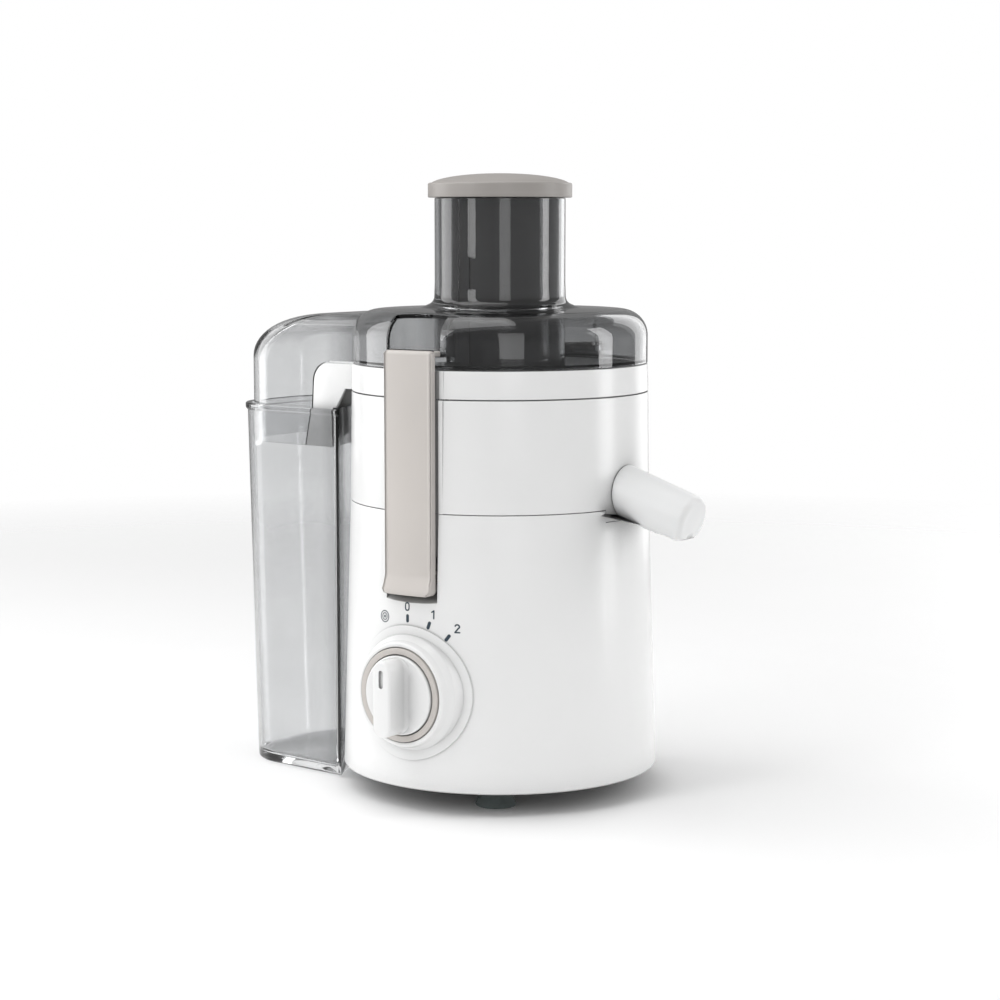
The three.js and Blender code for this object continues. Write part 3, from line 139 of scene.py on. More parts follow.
def rounded(corners: list[tuple], closed: bool = True, grain: float = 12.0) -> list[Point]:
    """An outline whose corners are rounded.

    Args:
        corners: (a, b) for a sharp corner, or (a, b, radius).
        closed: whether the last corner joins the first.
        grain: degrees turned by each straight piece of a rounding.

    Returns:
        The outline's points.
    """
    points: list[Point] = []
    count = len(corners)
    for i, corner in enumerate(corners):
        here = Vector(corner[:2])
        radius = corner[2] if len(corner) > 2 else 0.0
        if radius <= 0 or (not closed and i in (0, count - 1)):
            points.append((here.x, here.y))
            continue
        back = Vector(corners[i - 1][:2]) - here
        ahead = Vector(corners[(i + 1) % count][:2]) - here
        opening = back.angle(ahead)
        if opening > math.pi - 0.01:
            points.append((here.x, here.y))
            continue
        reach = min(radius / math.tan(opening / 2), 0.48 * back.length, 0.48 * ahead.length)
        radius = reach * math.tan(opening / 2)
        back.normalize()
        ahead.normalize()
        middle = here + (back + ahead).normalized() * (radius / math.sin(opening / 2))
        first = here + back * reach - middle
        last = here + ahead * reach - middle
        steps = max(2, math.ceil(math.degrees(math.pi - opening) / grain))
        turn = first.angle_signed(last)
        for k in range(steps + 1):
            spoke = first.copy()
            spoke.rotate(Matrix.Rotation(-turn * k / steps, 2))
            points.append((middle.x + spoke.x, middle.y + spoke.y))
    return points


@dataclass
class Solid:
    """A closed mesh in millimetres about the drive axis."""

    mesh: bmesh.types.BMesh

    def __add__(self, other: "Solid") -> "Solid":
        """Both as one solid."""
        return combined(self, other, Cut.JOIN)

    def __sub__(self, other: "Solid") -> "Solid":
        """What is left of this one outside the other."""
        return combined(self, other, Cut.TAKE)

    def __and__(self, other: "Solid") -> "Solid":
        """What both have in common."""
        return combined(self, other, Cut.COMMON)

    def placed(self, matrix: Matrix) -> "Solid":
        """A copy moved or turned by a matrix."""
        copy = self.mesh.copy()
        bmesh.ops.transform(copy, matrix=matrix, verts=copy.verts[:])
        if matrix.determinant() < 0:
            bmesh.ops.reverse_faces(copy, faces=copy.faces[:])
        return Solid(copy)

    def moved(self, x: float = 0.0, y: float = 0.0, z: float = 0.0) -> "Solid":
        """A copy moved along the axes."""
        return self.placed(Matrix.Translation((x, y, z)))

    def spun(self, degrees: float, axis: str = "Z") -> "Solid":
        """A copy turned about one of the axes."""
        return self.placed(Matrix.Rotation(math.radians(degrees), 4, axis))

    def pair(self) -> "Solid":
        """This one and its mirror image across the middle plane."""
        return self + self.placed(Matrix.Diagonal((1, -1, 1, 1)))


def combined(first: Solid, second: Solid, how: Cut) -> Solid:
    """Puts two solids together.

    Args:
        first: the solid that is changed.
        second: the solid that joins, cuts or limits it.
        how: which of these.

    Returns:
        A new solid.
    """
    pair: list[Object] = []
    for solid in (first, second):
        mesh = bpy.data.meshes.new("working")
        solid.mesh.to_mesh(mesh)
        pair.append(bpy.data.objects.new("working", mesh))
        bpy.context.scene.collection.objects.link(pair[-1])
    cutter = pair[0].modifiers.new("cut", "BOOLEAN")
    cutter.operation = how.value
    cutter.object = pair[1]
    result = bmesh.new()
    for solver in ("MANIFOLD", "EXACT"):
        cutter.solver = solver
        graph = bpy.context.evaluated_depsgraph_get()
        graph.update()
        made = pair[0].evaluated_get(graph)
        result.clear()
        result.from_mesh(made.to_mesh())
        made.to_mesh_clear()
        if result.faces and all(edge.is_manifold for edge in result.edges):
            break
    for obj in pair:
        mesh = obj.data
        bpy.data.objects.remove(obj)
        bpy.data.meshes.remove(mesh)
    return Solid(result)


def finished_mesh(bm: bmesh.types.BMesh) -> Solid:
    """Closes seams and poles and turns the faces outward."""
    bmesh.ops.remove_doubles(bm, verts=bm.verts[:], dist=1e-4)
    bmesh.ops.recalc_face_normals(bm, faces=bm.faces[:])
    return Solid(bm)


def turned(profile: list[Point], steps: int = FINE_TURN, hollow: bool = False) -> Solid:
    """A profile spun about the drive axis.

    Args:
        profile: (radius, height) points.
        steps: facets of the full turn.
        hollow: whether the last point joins the first, away from the axis.

    Returns:
        The turned solid.
    """
    bm = bmesh.new()
    verts = [bm.verts.new((r, 0, z)) for r, z in profile]
    edges = [bm.edges.new(pair) for pair in zip(verts, verts[1:])]
    if hollow:
        edges.append(bm.edges.new((verts[-1], verts[0])))
    bmesh.ops.spin(bm, geom=verts + edges, cent=(0, 0, 0), axis=(0, 0, 1), angle=2 * math.pi,
                   steps=steps, use_merge=True, use_duplicate=False)
    return finished_mesh(bm)


def ring(profile: list[Point], steps: int = FINE_TURN) -> Solid:
    """A closed profile spun about the drive axis."""
    return turned(profile, steps, hollow=True)


def cylinder(radius: float, low: float, high: float, steps: int = FINE_TURN) -> Solid:
    """A round bar about the drive axis."""
    return turned([(0, low), (radius, low), (radius, high), (0, high)], steps)


def raised(outline: list[Point], low: float, high: float) -> Solid:
    """A flat outline raised from one height to another."""
    bm = bmesh.new()
    face = bm.faces.new([bm.verts.new((x, y, low)) for x, y in outline])
    grown = bmesh.ops.extrude_face_region(bm, geom=[face])["geom"]
    top = [item for item in grown if isinstance(item, bmesh.types.BMVert)]
    bmesh.ops.translate(bm, vec=(0, 0, high - low), verts=top)
    return finished_mesh(bm)


def block(x: Point, y: Point, z: Point) -> Solid:
    """A block between two planes on each axis."""
    return raised([(x[0], y[0]), (x[1], y[0]), (x[1], y[1]), (x[0], y[1])], z[0], z[1])


def sideways(outline: list[Point], half: float) -> Solid:
    """An outline drawn in X and Z, carried along Y to both sides."""
    return raised(outline, -half, half).spun(90, "X")


def lofted(levels: list[tuple[float, list[Point]]]) -> Solid:
    """A skin over outlines of equal length at rising heights, closed at both ends."""
    bm = bmesh.new()
    loops = []
    for z, outline in levels:
        verts = [bm.verts.new((x, y, z)) for x, y in outline]
        edges = [bm.edges.new((verts[i - 1], verts[i])) for i in range(len(verts))]
        loops.append((verts, edges))
    for (_, lower), (_, upper) in zip(loops, loops[1:]):
        bmesh.ops.bridge_loops(bm, edges=lower + upper)
    bm.faces.new(loops[0][0])
    bm.faces.new(loops[-1][0])
    return finished_mesh(bm)


def softened(solid: Solid, width: float, sharper: float = 40.0) -> Solid:
    """Rounds a solid's edges.

    Args:
        solid: the solid, which is changed.
        width: how far the rounding reaches.
        sharper: only edges that turn by more than this many degrees.

    Returns:
        The same solid.
    """
    sharp = [edge for edge in solid.mesh.edges if edge.calc_face_angle(0.0) > math.radians(sharper)]
    bmesh.ops.bevel(solid.mesh, geom=sharp, offset=width, segments=2, profile=0.5, affect="EDGES",
                    material=-1, clamp_overlap=True)
    return solid


def crosswise(outline: list[Point], half: float) -> Solid:
    """An outline drawn in Y and Z, carried along X to both sides."""
    onto_its_side = Matrix(((0, 0, 1, 0), (1, 0, 0, 0), (0, 1, 0, 0), (0, 0, 0, 1)))
    return raised(outline, -half, half).placed(onto_its_side)


def stadium(radius: float, straight: float, steps: int = 24) -> list[Point]:
    """A slot outline along Y: two half circles and two straights."""
    upper = arc((0, straight), (radius, radius), 0, 180, steps)
    return upper + arc((0, -straight), (radius, radius), 180, 360, steps)


def stroke(path: list[Point], width: float, low: float, high: float) -> Solid:
    """A drawn line with round ends, raised between two heights."""
    solid: Solid | None = None
    for a, b in zip(path, path[1:]):
        run = Vector(b) - Vector(a)
        bar = raised(stadium(width / 2, run.length / 2, 8), low, high)
        bar = bar.spun(math.degrees(math.atan2(run.y, run.x)) - 90)
        bar = bar.moved((a[0] + b[0]) / 2, (a[1] + b[1]) / 2)
        solid = bar if solid is None else solid + bar
    return solid


# ---------------------------------------------------------------- layout


@dataclass(frozen=True)
class Layout:
    """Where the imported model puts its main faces, in millimetres about the drive axis."""

    axis: Vector
    base: float
    bowl: float
    collar: float
    lid: float
    tube_top: float
    body_r: float
    foot_r: float
    tank_far: float
    tank_top: float
    tank_low: float
    basket_low: float
    tube_end: float
    tube_rise: float = 64.7
    lid_inset: float = 1.5
    collar_inset: float = 0.9
    knob_rise: float = 55.0
    ledge_rise: float = 7.2
    pivot_drop: float = 36.0

    @property
    def lid_top(self) -> float:
        """The flat top of the lid."""
        return self.tube_top - self.tube_rise

    @property
    def lid_r(self) -> float:
        """Outer radius of the lid."""
        return self.body_r - self.lid_inset

    @property
    def collar_r(self) -> float:
        """Outer radius of the collar."""
        return self.body_r - self.collar_inset

    @property
    def knob_z(self) -> float:
        """Height of the knob's axis."""
        return self.base + self.knob_rise

    @property
    def ledge(self) -> float:
        """Floor of the pockets for the clamp hooks."""
        return self.lid + self.ledge_rise

    @property
    def pivot_z(self) -> float:
        """Height of the clamps' pivots."""
        return self.bowl - self.pivot_drop

    def radius_at(self, z: float) -> float:
        """Outer radius of the base at a height."""
        return self.body_r + (self.foot_r - self.body_r) * (self.bowl - z) / (self.bowl - self.base)

    def matrix(self) -> Matrix:
        """From millimetres about the axis to metres in the part's frame."""
        return Matrix.Translation(self.axis) @ Matrix.Scale(MM, 4)


def read_layout() -> Layout:
    """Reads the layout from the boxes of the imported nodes."""
    low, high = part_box("strainer_rim")
    axis = Vector(((low.x + high.x) / 2, (low.y + high.y) / 2, 0))

    def edge(node: str, side: int, along: str) -> float:
        """One face of a node's box, in millimetres about the axis."""
        return getattr(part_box(node)[side] - axis, along) / MM

    return Layout(
        axis=axis, base=edge("base_housing", 0, "z"), bowl=edge("bowl_seal", 0, "z"),
        collar=edge("juice_bowl", 1, "z") + GAP, lid=edge("chute_collar", 1, "z"),
        tube_top=edge("lid", 1, "z"), body_r=-edge("juice_bowl", 0, "x"),
        foot_r=edge("base_housing", 1, "y"), tank_far=edge("pulp_tank", 0, "x"),
        tank_top=edge("pulp_tank", 1, "z"), tank_low=edge("pulp_tank", 0, "z"),
        basket_low=edge("strainer_basket", 0, "z"), tube_end=edge("lid", 0, "z") + TUBE_END_RISE,
    )


# ---------------------------------------------------------------- finishes


class Recipe:
    """Shorthand for a node tree around one Principled shader."""

    def __init__(self, name: str) -> None:
        """Starts an empty material.

        Args:
            name: the material's name.
        """
        self.material: Material = bpy.data.materials.new(name)
        self.material.use_nodes = True
        self.tree = self.material.node_tree
        self.tree.nodes.clear()
        self.out = self.tree.nodes.new("ShaderNodeOutputMaterial")
        self.shader = self.tree.nodes.new("ShaderNodeBsdfPrincipled")
        self.coords = self.tree.nodes.new("ShaderNodeTexCoord")
        self.link(self.shader.outputs[0], self.out.inputs["Surface"])

    def link(self, source: NodeSocket, target: NodeSocket) -> None:
        """Joins two sockets."""
        self.tree.links.new(source, target)

    def put(self, **values: float | tuple) -> None:
        """Sets constants on the shader's sockets; underscores stand for spaces."""
        for name, value in values.items():
            self.shader.inputs[name.replace("_", " ")].default_value = value

    def node(self, kind: str, **values: object) -> Node:
        """A new node with attributes set."""
        made = self.tree.nodes.new(kind)
        for name, value in values.items():
            setattr(made, name, value)
        return made

    def stretched(self, scale: tuple[float, float, float]) -> NodeSocket:
        """Object coordinates stretched along the axes."""
        mapping = self.node("ShaderNodeMapping")
        mapping.inputs["Scale"].default_value = scale
        self.link(self.coords.outputs["Object"], mapping.inputs["Vector"])
        return mapping.outputs[0]

    def noise(self, scale: float, detail: float = 3.0, source: NodeSocket | None = None,
              lift: float = 0.5) -> NodeSocket:
        """A noise over object coordinates.

        Args:
            scale: cells per metre.
            detail: octaves.
            source: other coordinates to read.
            lift: roughness of the octaves.

        Returns:
            Its value.
        """
        made = self.node("ShaderNodeTexNoise")
        made.inputs["Scale"].default_value = scale
        made.inputs["Detail"].default_value = detail
        made.inputs["Roughness"].default_value = lift
        self.link(source or self.coords.outputs["Object"], made.inputs["Vector"])
        return made.outputs["Fac"]

    def ranged(self, source: NodeSocket, low: float, high: float, start: float = 0.3,
               end: float = 0.7) -> NodeSocket:
        """A value taken from one range to another."""
        made = self.node("ShaderNodeMapRange")
        for socket, value in (("From Min", start), ("From Max", end), ("To Min", low), ("To Max", high)):
            made.inputs[socket].default_value = value
        self.link(source, made.inputs["Value"])
        return made.outputs["Result"]

    def mixed(self, factor: NodeSocket, first: Colour | NodeSocket, second: Colour) -> NodeSocket:
        """Two colours mixed by a value."""
        made = self.node("ShaderNodeMix", data_type="RGBA")
        self.link(factor, made.inputs["Factor"])
        first_socket, second_socket = made.inputs[6], made.inputs[7]
        if isinstance(first, tuple):
            first_socket.default_value = (*first, 1)
        else:
            self.link(first, first_socket)
        second_socket.default_value = (*second, 1)
        return made.outputs[2]

    def bumped(self, heights: list[tuple[NodeSocket, float, float]]) -> None:
        """Lays bumps on the shader, each a (height, strength, distance in metres)."""
        normal: NodeSocket | None = None
        for height, strength, distance in heights:
            bump = self.node("ShaderNodeBump")
            bump.inputs["Strength"].default_value = strength
            bump.inputs["Distance"].default_value = distance
            self.link(height, bump.inputs["Height"])
            if normal is not None:
                self.link(normal, bump.inputs["Normal"])
            normal = bump.outputs[0]
        self.link(normal, self.shader.inputs["Normal"])


@dataclass(frozen=True)
class MouldedPlastic:
    """Injection-moulded plastic: even colour, a fine skin and, where asked, painted shade in its creases."""

    name: str
    colour: Colour
    shade: float = 0.94
    roughness: float = 0.26
    spread: float = 0.05
    grain: float = 900.0
    depth: float = 0.05
    specular: float = 0.5
    glow: float = 0.0
    # The next two set the painted shade in creases: how dark it goes, and how far the occlusion looks, in
    # metres.
    crease_shade: float = 0.0
    crease_shade_reach: float = 0.028

    def build(self) -> Material:
        """Makes the material."""
        recipe = Recipe(self.name)
        darker = tuple(channel * self.shade for channel in self.colour)
        cloud = recipe.ranged(recipe.noise(14.0, 3.0), 0.0, 1.0)
        skin = recipe.mixed(cloud, self.colour, darker)
        # Painted shade: an ambient occlusion node darkens the colour in creases and hollows, where shade
        # falls.
        if self.crease_shade:
            occlusion_probe = recipe.node("ShaderNodeAmbientOcclusion", samples=8)
            occlusion_probe.inputs["Distance"].default_value = self.crease_shade_reach
            crease_shade_colour = tuple(channel * self.crease_shade for channel in self.colour)
            crease_shade_mask = recipe.ranged(occlusion_probe.outputs["AO"], 1.0, 0.0, 0.3, 0.93)
            skin = recipe.mixed(crease_shade_mask, skin, crease_shade_colour)
        recipe.link(skin, recipe.shader.inputs["Base Color"])
        smear = recipe.noise(45.0, 4.0, lift=0.6)
        recipe.link(recipe.ranged(smear, self.roughness - self.spread, self.roughness + self.spread),
                    recipe.shader.inputs["Roughness"])
        recipe.put(IOR=1.47, Specular_IOR_Level=self.specular)
        if self.glow:
            recipe.put(Subsurface_Weight=self.glow, Subsurface_Radius=(1.0, 0.95, 0.9),
                       Subsurface_Scale=0.004)
        recipe.bumped([(recipe.noise(30.0, 2.0), 0.05, 0.0006),
                       (recipe.noise(self.grain, 2.0), self.depth, 0.00012)])
        return recipe.material


@dataclass(frozen=True)
class SmokedClear:
    """Clear plastic with a smoke tint: glossy, slightly wavy and lightly marked.

    The tint goes from pale to darker across X, a painted shade over the body, and to a painted dark edge
    where the wall is seen along its length, standing in for the longer path through the tint.
    """

    name: str
    tint: Colour
    shaded_tint: Colour
    # The next two give the painted dark edge: its colour, and how far towards it the colour goes.
    edge: Colour = (0.05, 0.052, 0.055)
    rim: float = 0.85
    # Across X, in metres: where the pale tint ends and where the painted shade over the body is full.
    unshaded_to: float = -0.075
    shaded_from: float = -0.05
    roughness: float = 0.02

    def build(self) -> Material:
        """Makes the material."""
        recipe = Recipe(self.name)
        # Painted shade: across X the tint turns to the darker colour over the body, where the dome is seen
        # over the parts inside it.
        split = recipe.node("ShaderNodeSeparateXYZ")
        recipe.link(recipe.coords.outputs["Object"], split.inputs[0])
        across = recipe.ranged(split.outputs["X"], 0.0, 1.0, self.unshaded_to, self.shaded_from)
        body = recipe.mixed(across, self.tint, self.shaded_tint)
        cloud = recipe.ranged(recipe.noise(20.0, 3.0), 0.0, 0.12)
        # Painted dark edge: a Layer Weight darkens the colour where the wall is seen edge-on, standing in
        # for the longer path of light through the tint.
        edge_on_darkening = recipe.node("ShaderNodeLayerWeight")
        edge_on_darkening.inputs["Blend"].default_value = 0.5
        rim = recipe.ranged(edge_on_darkening.outputs["Facing"], 0.0, self.rim, 0.52, 0.86)
        tinted = recipe.mixed(cloud, body, self.shaded_tint)
        recipe.link(recipe.mixed(rim, tinted, self.edge), recipe.shader.inputs["Base Color"])
        marks = recipe.noise(60.0, 5.0, lift=0.65)
        recipe.link(recipe.ranged(marks, self.roughness, self.roughness + 0.03, 0.45, 0.8),
                    recipe.shader.inputs["Roughness"])
        recipe.put(IOR=1.49, Transmission_Weight=1.0, Specular_IOR_Level=0.5)
        recipe.bumped([(recipe.noise(16.0, 1.0), 0.06, 0.0008)])
        clear = recipe.node("ShaderNodeBsdfTransparent")
        clear.inputs["Color"].default_value = (*[channel ** 0.5 for channel in self.tint], 1)
        path = recipe.node("ShaderNodeLightPath")
        mix = recipe.node("ShaderNodeMixShader")
        recipe.link(path.outputs["Is Shadow Ray"], mix.inputs[0])
        recipe.link(recipe.shader.outputs[0], mix.inputs[1])
        recipe.link(clear.outputs[0], mix.inputs[2])
        recipe.link(mix.outputs[0], recipe.out.inputs["Surface"])
        return recipe.material


@dataclass(frozen=True)
class SoftRubber:
    """Matt rubber with a dusty, pebbled skin."""

    name: str
    colour: Colour
    roughness: float = 0.6

    def build(self) -> Material:
        """Makes the material."""
        recipe = Recipe(self.name)
        dust = recipe.ranged(recipe.noise(120.0, 5.0, lift=0.7), 0.0, 1.0)
        pale = tuple(min(1.0, channel * 1.35 + 0.01) for channel in self.colour)
        recipe.link(recipe.mixed(dust, self.colour, pale), recipe.shader.inputs["Base Color"])
        recipe.link(recipe.ranged(dust, self.roughness - 0.08, self.roughness + 0.1, 0, 1),
                    recipe.shader.inputs["Roughness"])
        recipe.put(IOR=1.5, Specular_IOR_Level=0.35)
        recipe.bumped([(recipe.noise(1600.0, 3.0), 0.25, 0.0002)])
        return recipe.material


class Lay(Enum):
    """Which way the marks of a metal's making run."""

    ROUND = (60.0, 60.0, 2600.0)
    SHEETS = (5.0, 5.0, 1400.0)
    ALONG_Y = (1800.0, 60.0, 1800.0)


@dataclass(frozen=True)
class WorkedMetal:
    """Metal with fine lines left by brushing, stacking or winding."""

    name: str
    colour: Colour
    lay: Lay = Lay.ROUND
    roughness: float = 0.28
    lines: float = 0.3
    dull: float = 0.75

    def build(self) -> Material:
        """Makes the material."""
        recipe = Recipe(self.name)
        streaks = recipe.noise(1.0, 4.0, recipe.stretched(self.lay.value), 0.6)
        stain = recipe.ranged(recipe.noise(80.0, 4.0), 0.0, 1.0)
        dull = tuple(channel * self.dull for channel in self.colour)
        recipe.link(recipe.mixed(stain, self.colour, dull), recipe.shader.inputs["Base Color"])
        recipe.link(recipe.ranged(streaks, self.roughness - 0.08, self.roughness + 0.14),
                    recipe.shader.inputs["Roughness"])
        recipe.put(Metallic=1.0)
        recipe.bumped([(streaks, self.lines, 0.0002)])
        return recipe.material


@dataclass(frozen=True)
class TracedBoard:
    """A circuit board: green lacquer over paths, with a woven core."""

    name: str
    colour: Colour

    def build(self) -> Material:
        """Makes the material."""
        recipe = Recipe(self.name)
        cells = recipe.node("ShaderNodeTexVoronoi", feature="DISTANCE_TO_EDGE")
        cells.inputs["Scale"].default_value = 220.0
        recipe.link(recipe.coords.outputs["Object"], cells.inputs["Vector"])
        paths = recipe.ranged(cells.outputs["Distance"], 1.0, 0.0, 0.04, 0.09)
        bright = tuple(min(1.0, channel * 1.9 + 0.02) for channel in self.colour)
        recipe.link(recipe.mixed(paths, self.colour, bright), recipe.shader.inputs["Base Color"])
        recipe.link(recipe.ranged(recipe.noise(90.0), 0.32, 0.5), recipe.shader.inputs["Roughness"])
        recipe.put(IOR=1.5)
        recipe.bumped([(paths, 0.4, 0.0001)])
        return recipe.material


@dataclass(frozen=True)
class PaleFloor:
    """The studio floor, which fades into the backdrop away from the object."""

    name: str = "pale_floor"
    colour: Colour = (0.96, 0.96, 0.96)
    near: float = 0.45
    far: float = 1.5

    def build(self) -> Material:
        """Makes the material."""
        recipe = Recipe(self.name)
        cloud = recipe.ranged(recipe.noise(3.0, 3.0), 0.0, 1.0)
        darker = tuple(channel * 0.985 for channel in self.colour)
        recipe.link(recipe.mixed(cloud, self.colour, darker), recipe.shader.inputs["Base Color"])
        recipe.put(Roughness=0.55, Specular_IOR_Level=0.25)
        length = recipe.node("ShaderNodeVectorMath", operation="LENGTH")
        recipe.link(recipe.coords.outputs["Object"], length.inputs[0])
        fade = recipe.ranged(length.outputs["Value"], 0.0, 1.0, self.near, self.far)
        clear = recipe.node("ShaderNodeBsdfTransparent")
        mix = recipe.node("ShaderNodeMixShader")
        recipe.link(fade, mix.inputs[0])
        recipe.link(recipe.shader.outputs[0], mix.inputs[1])
        recipe.link(clear.outputs[0], mix.inputs[2])
        recipe.link(mix.outputs[0], recipe.out.inputs["Surface"])
        return recipe.material


@dataclass
class Finishes:
    """Every finish on the juicer, by material slot."""

    made: dict[Slot, Material] = field(default_factory=dict)

    def __post_init__(self) -> None:
        """Makes all the finishes."""
        recipes = {
            # The white plastic is given painted shade in its creases.
            Slot.WHITE: MouldedPlastic("gloss_white", (0.88, 0.882, 0.88), 0.975, 0.225, 0.03, crease_shade=0.4),
            Slot.FROST: MouldedPlastic("frosted_white", (0.84, 0.845, 0.845), 0.97, 0.36, 0.05, 700, 0.08,
                                       glow=0.25),
            # Its second colour is the painted shade over the body.
            Slot.SMOKE: SmokedClear("smoked_clear", (0.82, 0.825, 0.83), (0.40, 0.405, 0.41)),
            Slot.WARM: MouldedPlastic("warm_grey_satin", (0.60, 0.565, 0.535), 0.95, 0.40, 0.05, 1100,
                                      0.09),
            Slot.CAP: MouldedPlastic("cap_grey_satin", (0.365, 0.343, 0.325), 0.95, 0.42, 0.05, 1100, 0.1),
            Slot.DARK: MouldedPlastic("dark_grey", (0.095, 0.092, 0.092), 0.88, 0.34, 0.06, 800, 0.08),
            Slot.RUBBER: SoftRubber("soft_rubber", (0.10, 0.12, 0.118)),
            Slot.STEEL: WorkedMetal("brushed_steel", (0.62, 0.63, 0.64), Lay.ROUND, 0.26),
            Slot.IRON: WorkedMetal("stacked_iron", (0.20, 0.205, 0.215), Lay.SHEETS, 0.42, 0.6),
            Slot.COPPER: WorkedMetal("wound_copper", (0.62, 0.26, 0.12), Lay.ALONG_Y, 0.34, 0.8),
            Slot.BRASS: WorkedMetal("turned_brass", (0.55, 0.40, 0.16), Lay.ROUND, 0.32),
            Slot.BLACK: MouldedPlastic("black_plastic", (0.022, 0.022, 0.024), 0.8, 0.42, 0.08, 900, 0.14),
            Slot.BOARD: TracedBoard("green_board", (0.02, 0.11, 0.045)),
        }
        for slot, recipe in recipes.items():
            self.made[slot] = recipe.build()
        self.ink = MouldedPlastic("slate_ink", (0.032, 0.052, 0.072), 0.9, 0.4, 0.05, 1500, 0.05).build()


# ---------------------------------------------------------------- the workshop that places pieces


@dataclass
class Workshop:
    """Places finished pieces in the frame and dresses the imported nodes."""

    layout: Layout
    finishes: Finishes

    def piece(self, name: str, solid: Solid, slot: Slot, body: Body, replaces: tuple[str, ...] = (),
              material: Material | None = None, bevel: float = 0.0, smooth: float = 32.0) -> Object:
        """Makes a visible piece from a solid.

        Args:
            name: the piece's name.
            solid: its shape in millimetres about the axis.
            slot: the record's slot that it takes its finish from.
            body: the body that it rides on.
            replaces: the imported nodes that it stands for.
            material: another finish than the slot's.
            bevel: width of the rounding on its edges, in millimetres.
            smooth: angle in degrees past which an edge stays sharp.

        Returns:
            The new object.
        """
        bm = solid.mesh
        bmesh.ops.transform(bm, matrix=self.layout.matrix(), verts=bm.verts[:])
        mesh = bpy.data.meshes.new(name)
        bm.to_mesh(mesh)
        mesh.materials.append(material or self.finishes.made[slot])
        mesh.shade_smooth()
        mesh.set_sharp_from_angle(angle=math.radians(smooth))
        obj = bpy.data.objects.new(name, mesh)
        bpy.context.scene.collection.objects.link(obj)
        if bevel:
            rounding = obj.modifiers.new("edges", "BEVEL")
            rounding.width = bevel * MM
            rounding.segments = 3
            rounding.limit_method = "ANGLE"
            rounding.angle_limit = math.radians(38)
            rounding.use_clamp_overlap = False
            rounding.harden_normals = True
        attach(obj, body.value)
        if replaces:
            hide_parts(*replaces)
        open_edges = sum(not edge.is_manifold for edge in bm.edges)
        log.info("%s: %d faces, %d open edges", name, len(mesh.polygons), open_edges)
        bm.free()
        return obj

    def dress(self, slot: Slot, *nodes: str) -> None:
        """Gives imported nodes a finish."""
        for name in nodes:
            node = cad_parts[name]
            node.data.materials.clear()
            node.data.materials.append(self.finishes.made[slot])
            log.info("%s: %s", name, self.finishes.made[slot].name)


# ---------------------------------------------------------------- base


